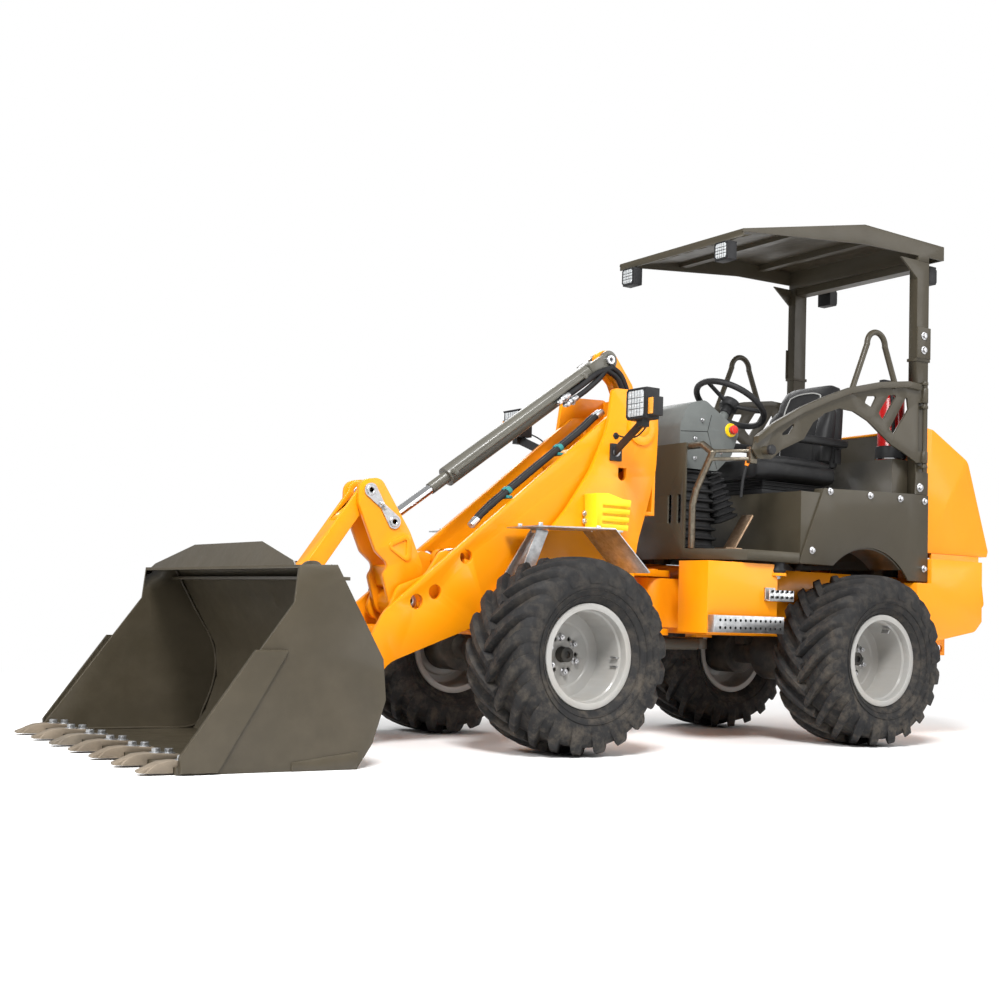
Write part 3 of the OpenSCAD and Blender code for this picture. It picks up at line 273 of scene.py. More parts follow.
def finish_node(obj, material):
    """Gives a CAD node its material and broken edges."""
    obj.data.materials.clear()
    obj.data.materials.append(material)
    weld = obj.modifiers.new("weld", "WELD")
    weld.merge_threshold = 0.00002
    bevel = obj.modifiers.new("edges", "BEVEL")
    bevel.width = EDGE_BREAK
    bevel.segments = 2
    bevel.limit_method = "ANGLE"
    bevel.angle_limit = SMOOTH_ANGLE
    bevel.harden_normals = True
    for polygon in obj.data.polygons:
        polygon.use_smooth = True


for material, names in NODE_FINISH.items():
    for name in names:
        finish_node(nodes[name], material)


# Mesh tools

WASHER_SHARE = 0.82
WASHER_THICK = 0.003
HEXAGON_FLATS = 1.732


def along_axis(at, axis):
    """Matrix that stands a shape on a point, with its z along an axis."""
    return Matrix.Translation(at) @ Vector(axis).to_track_quat("Z", "Y").to_matrix().to_4x4()


class Bag:
    """Gathers small shapes of one material on one body into a single mesh."""

    def __init__(self, name, material, body, slot=None):
        self.name = name
        self.material = material
        self.body = body
        self.slot = slot
        self.mesh = bmesh.new()

    def place(self, verts, matrix):
        bmesh.ops.transform(self.mesh, matrix=matrix, verts=verts)

    def skin(self, rings, ends=True):
        """Faces between neighbouring rings of points, and over both ends where wanted."""
        count = len(rings[0])
        faces = []
        if ends:
            faces.append(self.mesh.faces.new(rings[0][::-1]))
            faces.append(self.mesh.faces.new(rings[-1]))
        for a, b in zip(rings, rings[1:]):
            for i in range(count):
                j = (i + 1) % count
                faces.append(self.mesh.faces.new((a[i], a[j], b[j], b[i])))
        return faces

    def prism(self, outline, low, high, matrix, bevel=0.0):
        """Outline in x and y, pulled from low to high along z."""
        rings = [[self.mesh.verts.new((x, y, z)) for x, y in outline] for z in (low, high)]
        faces = self.skin(rings)
        verts = rings[0] + rings[1]
        if bevel:
            edges = list({e for f in faces for e in f.edges})
            made = bmesh.ops.bevel(self.mesh, geom=edges, offset=bevel, segments=2, affect="EDGES",
                                   profile=0.5)
            verts = list({v for v in verts if v.is_valid} | set(made["verts"]))
        self.place(verts, matrix)

    def box(self, low, high, bevel=0.002, turn=None):
        """Box between two corners in metres, turned about its own middle."""
        low, high = Vector(low), Vector(high)
        half = (high - low) / 2
        outline = [(-half.x, -half.y), (half.x, -half.y), (half.x, half.y), (-half.x, half.y)]
        matrix = Matrix.Translation((low + high) / 2)
        if turn is not None:
            matrix = matrix @ turn
        self.prism(outline, -half.z, half.z, matrix, min(bevel, 0.4 * min(half)))

    def round(self, at, axis, radius, length, sides=32, bevel=0.0):
        """Round bar from a point along an axis."""
        outline = [(radius * math.cos(a), radius * math.sin(a)) for a in
                   (2 * math.pi * k / sides for k in range(sides))]
        self.prism(outline, 0.0, length, along_axis(at, axis), bevel)

    def lathe(self, at, axis, profile, sides=48, closed=False):
        """Turned shape: profile gives radius and height along the axis."""
        rings = []
        for radius, height in profile:
            if radius < 1e-6:
                rings.append([self.mesh.verts.new((0, 0, height))])
            else:
                rings.append([self.mesh.verts.new((radius * math.cos(2 * math.pi * k / sides),
                                                   radius * math.sin(2 * math.pi * k / sides), height))
                              for k in range(sides)])
        pairs = list(zip(rings, rings[1:]))
        if closed:
            pairs.append((rings[-1], rings[0]))
        for a, b in pairs:
            for i in range(sides):
                j = (i + 1) % sides
                quad = [a[i % len(a)], a[j % len(a)], b[j % len(b)], b[i % len(b)]]
                unique = list(dict.fromkeys(quad))
                if len(unique) > 2:
                    self.mesh.faces.new(unique)
        self.place([v for loop in rings for v in loop], along_axis(at, axis))

    def bolt(self, at, axis, across=0.024, height=0.011, washer=True):
        """Hexagon head on a washer."""
        axis = Vector(axis).normalized()
        at = Vector(at)
        if washer:
            self.round(at, axis, across * WASHER_SHARE, WASHER_THICK, 24, 0.0006)
            at = at + axis * WASHER_THICK
        self.round(at, axis, across / HEXAGON_FLATS, height, 6, 0.0012)

    def tube(self, points, radius, sides=14, steps=8):
        """Smooth tube through points."""
        path = smooth_path(points, steps)
        rings = []
        normal = None
        for i, point in enumerate(path):
            ahead = path[min(i + 1, len(path) - 1)] - path[max(i - 1, 0)]
            ahead.normalize()
            if normal is None:
                normal = ahead.orthogonal().normalized()
            normal = (normal - ahead * normal.dot(ahead)).normalized()
            side = ahead.cross(normal)
            rings.append([self.mesh.verts.new(point + (normal * math.cos(a) + side * math.sin(a)) * radius)
                          for a in (2 * math.pi * k / sides for k in range(sides))])
        self.skin(rings)
        return path

    def done(self):
        """Makes the object, which rides on its body."""
        bmesh.ops.recalc_face_normals(self.mesh, faces=self.mesh.faces)
        data = bpy.data.meshes.new(self.name)
        self.mesh.to_mesh(data)
        self.mesh.free()
        data.materials.append(self.material)
        obj = bpy.data.objects.new(self.name, data)
        bpy.context.scene.collection.objects.link(obj)
        for polygon in data.polygons:
            polygon.use_smooth = True
        data.set_sharp_from_angle(angle=SMOOTH_ANGLE)
        if self.body:
            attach(obj, self.body)
        return obj


def turned_piece(name, material, body, at, axis, profile, sides, slot=None):
    """One turned shape as a piece of its own."""
    bag = Bag(name, material, body, slot)
    bag.lathe(at, axis, profile, sides)
    return bag.done()


def smooth_path(points, steps):
    """Points on a smooth curve through the given points."""
    path = []
    for i in range(len(points) - 1):
        before = points[max(i - 1, 0)]
        start, end = points[i], points[i + 1]
        after = points[min(i + 2, len(points) - 1)]
        for k in range(steps):
            t = k / steps
            path.append(0.5 * ((2 * start) + (end - before) * t
                               + (2 * before - 5 * start + 4 * end - after) * t * t
                               + (3 * start - before - 3 * end + after) * t * t * t))
    path.append(points[-1])
    return path


# Tyres with two staggered rows of leaning lugs

TYRE_SIDES = 120
LUG_COUNT = 20
OUTER_LUG_PHASE = math.radians(15.1)
INNER_LUG_PHASE = math.radians(6.1)
LUG_LEAN = math.radians(30.0)
# Radius and height across the tyre, in millimetres
TYRE_PROFILE = [
    (190.5, -108), (190.5, -141), (208, -143), (222, -158), (244, -176), (282, -190), (312, -191),
    (334, -182), (348, -165), (354, -140), (356, -70), (356, 70), (354, 140), (348, 165), (334, 182),
    (312, 191), (282, 190), (244, 176), (222, 158), (208, 143), (190.5, 141), (190.5, 108),
    (216, 118), (262, 150), (306, 152), (326, 120), (328, 0), (326, -120), (306, -152), (262, -150),
    (216, -118)]
SIDEWALL_RINGS = ((262, 184.5), (236, 170.5))
RING_HALF = 2.2
RING_PROUD = 2.6
# Share of a lug's lean, height across the tyre, radius of the top, radius of the foot, half width
LUG_LINE = [
    (0.0, -14, 386, 352, 15), (0.1, 6, 389.5, 352, 19), (0.3, 50, 390, 352, 19), (0.52, 96, 388, 351, 20),
    (0.72, 138, 383, 348, 22), (0.86, 165, 374, 342, 24), (0.95, 183, 356, 330, 24),
    (1.0, 192.5, 330, 312, 22), (1.02, 193, 306, 292, 17)]


def metres(pairs):
    """Pairs of millimetres as metres."""
    return [(a / 1000, b / 1000) for a, b in pairs]


def make_tyre(key, place, side):
    """Tyre carcass with its lugs, in place of the solid tyre."""
    middle = place(0, side * TYRE_MID_Y, AXLE_Z)
    bag = Bag("lugged_tyre_" + key, rubber, "wheel_" + key, "tyre_rubber")
    bag.lathe(middle, (0, 1, 0), metres(TYRE_PROFILE), TYRE_SIDES, closed=True)
    for radius, height in SIDEWALL_RINGS:
        for flank in (-1, 1):
            bag.lathe(middle, (0, 1, 0), moulded_ring(radius, flank * height), TYRE_SIDES, closed=True)
    for flank in (-1, 1):
        phase = OUTER_LUG_PHASE if flank == side else INNER_LUG_PHASE
        for k in range(LUG_COUNT):
            add_lug(bag, middle, 2 * math.pi * k / LUG_COUNT + phase, flank)
    tyre = bag.done()
    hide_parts("tyre_" + key)


def moulded_ring(radius, height):
    """Profile of a small moulded ring on a sidewall, in metres."""
    proud = RING_PROUD if height > 0 else -RING_PROUD
    return metres([(radius - RING_HALF, height - proud), (radius - RING_HALF / 2, height + proud),
                   (radius + RING_HALF / 2, height + proud), (radius + RING_HALF, height - proud)])


def add_lug(bag, middle, start, flank):
    """One lug from past the middle of the tread down to the shoulder."""
    sections = []
    for share, across, top, foot, half in LUG_LINE:
        angle = start - LUG_LEAN * share
        corners = [(foot - 6, half + 7), (top - 4, half + 1), (top, half - 3)]
        loop = [(radius, -width) for radius, width in corners] + corners[::-1]
        verts = []
        for radius, width in loop:
            turn = angle + width / radius
            reach = radius / 1000
            spot = Vector((-reach * math.cos(turn), flank * across / 1000, reach * math.sin(turn)))
            verts.append(bag.mesh.verts.new(middle + spot))
        sections.append(verts)
    bag.skin(sections)


# Wheel name, place on the front or rear half, side, angle of the valve guard
WHEELS = (("fl", fp, 1, 188), ("fr", fp, -1, 188), ("rl", rp, 1, 118), ("rr", rp, -1, 118))
for key, place, side, _ in WHEELS:
    make_tyre(key, place, side)


# Wheel centres, nuts and valve guards

NUT_COUNT = 6
NUT_START = 22
NUT_CIRCLE = 0.07
NUT_FACE_IN = 34
NUT_SEAT_PROFILE = [(0.0, 0.0), (0.0165, 0.0), (0.0165, 0.002), (0.012, 0.006), (0.0, 0.006)]
GUARD_OUT = 92
GUARD_CIRCLE = 0.168


def on_circle(radius, angle):
    """Point on a circle that stands along the machine."""
    return Vector((radius * math.cos(angle), 0, radius * math.sin(angle)))


def wheel_details(key, place, side, guard_angle):
    """Nuts on studs, a dark hub and the valve guard of one wheel."""
    outward = Vector((0, side, 0))
    face = place(0, side * (TYRE_MID_Y - NUT_FACE_IN), AXLE_Z)
    nuts = Bag("wheel_nuts_" + key, steel, "wheel_" + key)
    for k in range(NUT_COUNT):
        at = face + on_circle(NUT_CIRCLE, math.radians(360 / NUT_COUNT * k + NUT_START))
        nuts.lathe(at, outward, NUT_SEAT_PROFILE, 24)
        nuts.bolt(at + outward * 0.005, outward, 0.021, 0.014, washer=False)
        nuts.round(at + outward * 0.018, outward, 0.0062, 0.008, 16, 0.001)
    angle = math.radians(guard_angle)
    guard_at = place(0, side * (TYRE_MID_Y + GUARD_OUT), AXLE_Z) + on_circle(GUARD_CIRCLE, angle)
    turn = Matrix.Rotation(-angle, 4, "Y")
    for low, high in (((-0.012, -0.02, -0.021), (0.006, 0.02, -0.015)),
                      ((-0.012, -0.02, 0.015), (0.006, 0.02, 0.021)),
                      ((-0.015, -0.02, -0.021), (-0.011, 0.02, 0.021))):
        nuts.box(guard_at + Vector(low), guard_at + Vector(high), 0.001, turn)
    nuts.done()
    hub_profile = [(0.0, 0.004), (0.018, 0.004), (0.02, 0.008), (0.03, 0.008), (0.032, 0.003), (0.044, 0.003),
                   (0.0475, 0.0115), (0.0478, 0.0), (0.0, 0.0)]
    turned_piece("hub_" + key, iron, "wheel_" + key, face + outward * -0.012, outward, hub_profile, 40)


for wheel in WHEELS:
    wheel_details(*wheel)


# Lamps

LENS_SHARE = 0.86
GRID_SHARE = 0.84
GRID_HALF = 0.0011
GRID_FOOT = 0.0062
COLUMN_STEP = 0.3
ROW_STEP = 0.36
RIM_STEPS = ((1.0, -0.002), (1.0, 0.008), (0.9, 0.009), (0.88, 0.001))
DOME_PROFILE = [(0.0075, 0.0), (0.006, 0.002), (0.0, 0.0032)]


def lamp_lens(bag, rim_bag, at, half_w, half_h, facing):
    """Lens with domes and a dark grid inside a dark rim. The lamp faces along x."""
    outline = [(-half_w, -half_h + 0.01), (-half_w + 0.01, -half_h), (half_w - 0.006, -half_h),
               (half_w, -half_h + 0.012), (half_w, half_h - 0.012), (half_w - 0.012, half_h),
               (-half_w + 0.01, half_h), (-half_w, half_h - 0.01)]
    stand = Matrix.Translation(at) @ Matrix(((0, 0, facing, 0), (1, 0, 0, 0), (0, 1, 0, 0), (0, 0, 0, 1)))
    ahead = stand.to_3x3() @ Vector((0, 0, 1))
    bag.prism([(LENS_SHARE * x, LENS_SHARE * y) for x, y in outline], 0.0, 0.007, stand, 0.002)
    rings = []
    for scale, depth in RIM_STEPS:
        loop = [stand @ Vector((scale * x, scale * y, depth)) for x, y in outline]
        rings.append([rim_bag.mesh.verts.new(spot) for spot in loop])
    rim_bag.skin(rings, ends=False)
    for row in range(4):
        for column in range(5):
            spot = Vector((half_w * COLUMN_STEP * (column - 2), half_h * ROW_STEP * (row - 1.5), 0.0055))
            bag.lathe(stand @ spot, ahead, DOME_PROFILE, 12)
    grid_x = GRID_SHARE * half_w
    grid_y = GRID_SHARE * half_h
    for k in (-1, 0, 1):
        y = half_h * ROW_STEP * k
        low, high = y - GRID_HALF, y + GRID_HALF
        line = [(-grid_x, low), (grid_x, low), (grid_x, high), (-grid_x, high)]
        rim_bag.prism(line, GRID_FOOT, 0.0076, stand)
    for k in (-1.5, -0.5, 0.5, 1.5):
        x = half_w * COLUMN_STEP * k
        low, high = x - GRID_HALF, x + GRID_HALF
        line = [(low, -grid_y), (high, -grid_y), (high, grid_y), (low, grid_y)]
        rim_bag.prism(line, GRID_FOOT, 0.0075, stand)


LAMP_AT = (-378, 463, 1440)
head_glass = Bag("headlamp_glass", clear_lens, "front")
head_rim = Bag("headlamp_rims", plastic, "front", "black_plastic")
turn_glass = Bag("turn_lamp_glass", amber_lens, "front")
for side in (1, -1):
    at = fp(LAMP_AT[0] + 30, side * LAMP_AT[1], LAMP_AT[2])
    lamp_lens(head_glass, head_rim, at, 0.061 * side, 0.064, 1)
    turn_at = fp(LAMP_AT[0] + 20, side * (LAMP_AT[1] + 81), LAMP_AT[2] - 15)
    turn_glass.box(turn_at + Vector((-0.001, -0.015, -0.034)), turn_at + Vector((0.004, 0.015, 0.034)), 0.003)
head_glass.done()
head_rim.done()
turn_glass.done()

roof_glass = Bag("roof_lamp_glass", clear_lens, "rear")
roof_rim = Bag("roof_lamp_rims", plastic, "rear", "black_plastic")
for side in (1, -1):
    lamp_lens(roof_glass, roof_rim, rp(750, side * 335, ROOF_TOP - 247), 0.042, 0.04, 1)
    lamp_lens(roof_glass, roof_rim, rp(-660, side * 335, ROOF_TOP - 145), 0.042, 0.042, -1)
roof_glass.done()
roof_rim.done()


# Bolts and small fittings


def bolt_row(bag, points, axis, across):
    """Bolts of one size at several points."""
    for point in points:
        bag.bolt(point, axis, across)


front_bolts = Bag("front_bolts", zinc, "front")
for side in (1, -1):
    for x, z in ((70, 903), (-225, 907.5)):
        bolt_row(front_bolts, [fp(x, side * y, z) for y in (238, 385)], (0, 0, 1), 0.018)
    bolt_row(front_bolts, [fp(-448, side * (TOWER_OUT + 12), 1262)], (0, side, 0), 0.022)
bolt_row(front_bolts, [fp(-288, TOWER_OUT + 9, z) for z in (952, 984)], (0, 1, 0), 0.018)
front_bolts.done()

panel_bolts = Bag("panel_bolts", steel, "rear")
for side in (1, -1):
    out = (0, side, 0)
    bolt_row(panel_bolts, [rp(x, side * PANEL_Y, 1160) for x in (150, -120, -330, -505)], out, 0.02)
    bolt_row(panel_bolts, [rp(-505, side * PANEL_Y, 830), rp(262, side * PANEL_Y, 880)], out, 0.02)
    bolt_row(panel_bolts, [rp(-490, side * (PANEL_Y - 1), z) for z in (1906, 1977)], out, 0.024)
    bolt_row(panel_bolts, [rp(-470, side * PANEL_Y, 1225)], out, 0.026)
panel_bolts.done()


# Soft pieces of the operator's place


def loft(bag, stations, sides=44, power=4.0):
    """Rounded form through cross-sections given as a middle and two half axes."""
    rings = []
    for middle, u, v in stations:
        loop = []
        for k in range(sides):
            angle = 2 * math.pi * k / sides
            c, s = math.cos(angle), math.sin(angle)
            along_u = math.copysign(abs(c) ** (2 / power), c)
            along_v = math.copysign(abs(s) ** (2 / power), s)
            loop.append(bag.mesh.verts.new(middle + u * along_u + v * along_v))
        rings.append(loop)
    bag.skin(rings)


def level_section(x, y, z, half_y, half_z):
    """Cross-section standing across the machine."""
    return rp(x, y, z), Vector((0, half_y / 1000, 0)), Vector((0, 0, half_z / 1000))


def flat_section(x, y, z, half_x, half_y):
    """Level cross-section."""
    return rp(x, y, z), Vector((half_x / 1000, 0, 0)), Vector((0, half_y / 1000, 0))


# Seat sections: place along the machine or its height, then the two half widths
CUSHION = ((-138, 1262, 176, 24), (-134, 1264, 204, 40), (-120, 1266, 221, 50), (-80, 1266, 227, 53),
           (120, 1268, 228, 52), (300, 1270, 228, 55), (350, 1268, 224, 55), (380, 1264, 210, 46),
           (391, 1260, 180, 28))
CUSHION_SIDE = ((-110, 1300, 20, 10), (-90, 1306, 40, 24), (0, 1310, 48, 27), (200, 1312, 48, 27),
                (310, 1306, 44, 26), (352, 1296, 24, 14))
BACKREST = ((-128, 1300, 30, 180), (-132, 1310, 44, 205), (-140, 1360, 52, 216), (-152, 1480, 54, 218),
            (-166, 1590, 50, 212), (-180, 1670, 44, 196), (-190, 1715, 36, 170), (-194, 1732, 22, 130))
BACKREST_SIDE = ((-80, 1322, 16, 20), (-84, 1340, 34, 40), (-90, 1400, 44, 46), (-104, 1500, 42, 46),
                 (-124, 1580, 32, 40), (-138, 1615, 14, 20))
ARMREST = ((-160, 1420, 12, 8), (-154, 1422, 22, 18), (-100, 1423, 25, 21), (100, 1424, 25, 21),
           (165, 1422, 23, 19), (178, 1420, 12, 9))

cushion = Bag("seat_cushion", vinyl, "rear", "seat_vinyl")
loft(cushion, [level_section(x, 0, z, hy, hz) for x, z, hy, hz in CUSHION])
for side in (1, -1):
    loft(cushion, [level_section(x, side * 176, z, hy, hz) for x, z, hy, hz in CUSHION_SIDE], power=2.6)
cushion_piece = cushion.done()
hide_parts("seat")

backrest = Bag("seat_backrest", vinyl, "rear", "seat_vinyl")
loft(backrest, [flat_section(x, 0, z, hx, hy) for x, z, hx, hy in BACKREST], power=3.4)
for side in (1, -1):
    loft(backrest, [flat_section(x, side * 172, z, hx, hy) for x, z, hx, hy in BACKREST_SIDE], power=2.6)
back_piece = backrest.done()

PIPING_RADIUS = 0.0035
STITCH_RADIUS = 0.0016
seams = Bag("seat_piping", piping, "rear")
for side in (1, -1):
    seams.tube([rp(-92, side * 126, 1316), rp(40, side * 126, 1319), rp(200, side * 126, 1321),
                rp(330, side * 124, 1320)], PIPING_RADIUS, 8, 6)
    seams.tube([rp(-92, side * 128, 1345), rp(-96, side * 128, 1420), rp(-104, side * 126, 1520),
                rp(-118, side * 120, 1610), rp(-138, side * 104, 1680)], PIPING_RADIUS, 8, 6)
seams.tube([rp(-138, 104, 1680), rp(-142, 60, 1694), rp(-143, 0, 1698), rp(-142, -60, 1694),
            rp(-138, -104, 1680)], PIPING_RADIUS, 8, 6)
for height in (1400, 1470, 1540):
    x = -90 - (height - 1345) * 0.1
    seams.tube([rp(x - 7, 122, height), rp(x - 4, 60, height), rp(x - 4, 0, height), rp(x - 4, -60, height),
                rp(x - 7, -122, height)], STITCH_RADIUS, 6, 4)
seams.done()

arms = Bag("seat_armrests", vinyl, "rear", "seat_vinyl")
for side in (1, -1):
    loft(arms, [level_section(x, side * 253, z, hy, hz) for x, z, hy, hz in ARMREST], power=3.0)
arms_piece = arms.done()

seat_base = Bag("seat_base", plastic, "rear", "black_plastic")
seat_base.box(rp(-118, -168, 1150), rp(308, 168, 1176), 0.004)
for k in range(5):
    z = 1178 + 8 * k
    inset = 6 if k % 2 else 0
    seat_base.box(rp(-112 + inset, -162 + inset, z), rp(302 - inset, 162 - inset, z + 7.4), 0.003)
for side in (1, -1):
    seat_base.round(rp(-145, side * 208, 1420), (0, side, 0), 0.022, 0.03, 24, 0.003)
    seat_base.box(rp(-168, side * 214 - 5, 1330), rp(-124, side * 214 + 5, 1440), 0.003)
seat_base.done()

# Rubber bellows under the console
BOOT_FOLDS = 9
BOOT_SIDES = 48
BOOT_POWER = 5.0
boot = Bag("console_boot", hose_black, "rear", "hose_rubber")
stations = [flat_section(648, 0, 866, 140, 138)]
for k in range(BOOT_FOLDS):
    share = k / (BOOT_FOLDS - 1)
    z = 880 + 350 * share
    half_x = 130 - 14 * share
    half_y = 138 - 28 * share
    x = 655 + 10 * share
    for rise, shrink in ((-12, 18), (-4, 0), (4, 0), (12, 18)):
        stations.append(flat_section(x, 0, z + rise, half_x - shrink, half_y - shrink))
loft(boot, stations, BOOT_SIDES, BOOT_POWER)
boot_piece = boot.done()
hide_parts("bellows")

# Hoses clipped along the boom
BOOM_HOSE_RADIUS = 0.0135
BOOM_HOSE_SLOPE = 0.789
hoses = Bag("boom_hose_run", hose_black, "boom", "hose_rubber")
ferrules = Bag("hose_ferrules", zinc, "boom")
clips = Bag("hose_clips", teal, "boom")
for k in range(2):
    y = 118 - 24 * k
    route = [fp(-430, y, 1446), fp(-380, y + 1, 1410), fp(-330, y + 3, 1365), fp(-200, y + 4, 1262),
             fp(-60, y + 4, 1152), fp(60, y + 5, 1057), fp(120, y + 5, 1010), fp(185, 121 - 18 * k, 952),
             fp(230, 122 - 12 * k, 905)]
    hoses.tube(route, BOOM_HOSE_RADIUS, 16, 8)
    for end, toward in ((route[0], route[1]), (route[-1], route[-2])):
        ahead = (toward - end).normalized()
        ferrules.round(end - ahead * 0.004, ahead, 0.0145, 0.042, 20, 0.001)
    for spot in (route[3], route[5]):
        clips.round(spot - Vector((0.012, 0, -0.01)), Vector((0.79, 0, -0.62)), 0.0165, 0.02, 20, 0.001)
for x in (-200, 60):
    z = 1365 - (x + 330) * BOOM_HOSE_SLOPE
    clips.box(fp(x - 14, 80, z - 30), fp(x + 14, 140, z - 18), 0.002)
hose_piece = hoses.done()
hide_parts("boom_hoses")
ferrules.done()
clips.done()


# Pins, hoses and fittings of the linkage
TILT_BASE = Vector((-520.0, 0.0, 1700.0))
ROD_PIN = Vector((575.0, 0.0, 898.0))
LINK_TOP = Vector((686.0, 0.0, 1018.0))
TILT_ALONG = (ROD_PIN - TILT_BASE).normalized()
TILT_UP = Vector((-TILT_ALONG.z, 0.0, TILT_ALONG.x))


def tilt_point(along, y, up):
    """Point on the tilt cylinder: along its axis, across and above it, in mm."""
    spot = TILT_BASE + TILT_ALONG * along + TILT_UP * up
    return fp(spot.x, y, spot.z)


PIN_END_PROFILE = [(0.0212, 0.0), (0.0212, 0.0035), (0.0195, 0.005), (0.012, 0.005), (0.01, 0.0035),
                   (0.0, 0.0035)]
flags = Bag("lever_pin_flags", steel, "lever")
flag_bolts = Bag("lever_flag_bolts", zinc, "lever")
for start, toward in ((ROD_PIN, LINK_TOP), (LINK_TOP, ROD_PIN)):
    middle = start + (toward - start) * 0.44
    ahead = (middle - start).normalized()
    across = Vector((-ahead.z, 0.0, ahead.x))
    drop = []
    for centre, radius, first in ((start, 29.0, 90), (middle, 14.0, -90)):
        for k in range(13):
            angle = math.radians(first + 15 * k)
            spot = centre + (ahead * math.cos(angle) + across * math.sin(angle)) * radius
            drop.append((spot.x, spot.z))
    for side in (1, -1):
        flags.skin([[flags.mesh.verts.new(fp(x, side * y, z)) for x, z in drop] for y in (72.4, 81.0)])
        out = (0, side, 0)
        flags.lathe(fp(start.x, side * 80.5, start.z), out, PIN_END_PROFILE, 28)
        flag_bolts.bolt(fp(middle.x, side * 80.8, middle.z), out, 0.014)
flags.done()
flag_bolts.done()

# Two hoses that bend round the tilt pin, from the tower to the tilt cylinder
TILT_HOSE_RADIUS = 0.0125
TILT_HOSE_Y = 61
FITTING_RADIUS = 0.0142
# Name, points on the tower, points on the cylinder (along it and above it)
TILT_HOSES = (("tilt_hose_outer", [(-640, 1478), (-622, 1548), (-584, 1624), (-554, 1651), (-520, 1663)],
               [(20, -31), (110, -12), (200, -14), (270, -14), (300, -14)]),
              ("tilt_hose_inner", [(-640, 1432), (-612, 1512), (-574, 1596), (-548, 1625), (-520, 1638)],
               [(57, -25), (110, -37), (200, -44), (238, -44), (268, -44)]))
tilt_fittings = Bag("tilt_hose_fittings", zinc, "tilt_barrel")
tower_unions = Bag("tower_hose_unions", zinc, "front")
for name, tower_route, barrel_route in TILT_HOSES:
    hose = Bag(name, hose_black, None, "hose_rubber")
    hose.tube([fp(x, TILT_HOSE_Y, z) for x, z in tower_route]
              + [tilt_point(s, TILT_HOSE_Y, up) for s, up in barrel_route], TILT_HOSE_RADIUS, 16, 10)
    hose_piece = hose.done()
    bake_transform(hose_piece)
    last, barrel_up = barrel_route[-1]
    tip = tilt_point(last - 4, TILT_HOSE_Y, barrel_up)
    tilt_fittings.round(tip, TILT_ALONG, FITTING_RADIUS, 0.034, 24, 0.001)
    tilt_fittings.bolt(tip + TILT_ALONG * 0.032, TILT_ALONG, 0.026, 0.016)
    tilt_fittings.round(tip + TILT_ALONG * 0.046, TILT_ALONG, 0.0095, 0.03, 20, 0.001)
    tilt_fittings.round(tip + TILT_ALONG * 0.064 + Vector((0, 0.012, 0)), (0, -1, 0), 0.0105, 0.034, 20,
                        0.001)
    foot = tower_route[0][1]
    tower_unions.round(fp(-663, TILT_HOSE_Y, foot - 30), (0.62, 0, 0.78), FITTING_RADIUS, 0.042, 24, 0.001)
    tower_unions.round(fp(-666, TILT_HOSE_Y, foot - 34), (1, 0, 0), 0.018, 0.008, 6)
tilt_fittings.done()
tower_unions.done()

# Lamp leads down to the tower
LEAD_DIAMETER = 0.007
lead_grommets = Bag("lamp_lead_grommets", hose_black, "front", "hose_rubber")
for side, name in ((1, "lamp_lead_left"), (-1, "lamp_lead_right")):
    lead = Bag(name, hose_black, "front", "hose_rubber")
    line = lead.tube([fp(-409, side * 455, 1398), fp(-432, side * 440, 1396), fp(-462, side * 400, 1372),
                      fp(-470, side * 330, 1330), fp(-462, side * 270, 1322),
                      fp(-452, side * (TOWER_OUT + 22), 1334), fp(-450, side * (TOWER_OUT + 2), 1336)],
                     LEAD_DIAMETER / 2, 12, 10)
    lead.done()
    lead_grommets.lathe(fp(-450, side * (TOWER_OUT - 0.5), 1336), (0, side, 0),
                        [(0.015, 0.0), (0.015, 0.003), (0.011, 0.006), (0.0036, 0.006)], 24)
lead_grommets.done()

# Fittings round the operator
CONSOLE_SIDE = 125
stop_disc_profile = [(0.0325, 0.0), (0.0325, 0.0085), (0.031, 0.011), (0.0, 0.011)]
turned_piece("stop_disc", chock_yellow, "rear", rp(480, 123.6, 1440), (0, 1, 0), stop_disc_profile, 40)
stop_button_profile = [(0.014, 0.0), (0.014, 0.008), (0.0205, 0.01), (0.0225, 0.016), (0.0205, 0.024),
                       (0.014, 0.0285), (0.0, 0.03)]
turned_piece("stop_button", stop_red, "rear", rp(480, 134, 1440), (0, 1, 0), stop_button_profile, 36)
# Thin black lines on the console sides are painted shade in the seams between its panels
console_seam_shade = Bag("console_seam_painted_shade", gap_shade_black, "rear")
console_screws = Bag("console_screws", steel, "rear")
for side in (1, -1):
    y = side * CONSOLE_SIDE
    for (x0, z0), (x1, z1) in (((560, 1250), (622, 1420)), ((622, 1420), (600, 1500)),
                               ((622, 1420), (786, 1408))):
        seam = [rp(x0, y, z0), rp(0.5 * (x0 + x1), y, 0.5 * (z0 + z1)), rp(x1, y, z1)]
        console_seam_shade.tube(seam, 0.0014, 6, 3)
    for x, z in ((700, 1290), (700, 1380), (660, 1470), (540, 1330)):
        console_screws.bolt(rp(x, y, z), (0, side, 0), 0.011)
console_seam_shade.done()
console_screws.done()

cup = Bag("extinguisher_cup", plastic, "rear", "black_plastic")
cup.lathe(rp(-430, 300, 1359), (0, 0, 1),
          [(0.0, 0.0), (0.068, 0.0), (0.0745, 0.006), (0.0745, 0.066), (0.0725, 0.0725),
           (0.0652, 0.0725)], 48)
cup.box(rp(-462, 284, 1738), rp(-358, 316, 1762), 0.004)
cup.tube([rp(-400, 316, 1735), rp(-372, 352, 1700), rp(-366, 366, 1620), rp(-372, 366, 1500),
          rp(-384, 352, 1450)], 0.009, 12, 8)
cup.done()
cup_ring_profile = [(0.0742, 0.0), (0.0764, 0.001), (0.0764, 0.007), (0.0742, 0.008)]
turned_piece("extinguisher_ring", chrome, "rear", rp(-430, 300, 1364), (0, 0, 1), cup_ring_profile, 48)

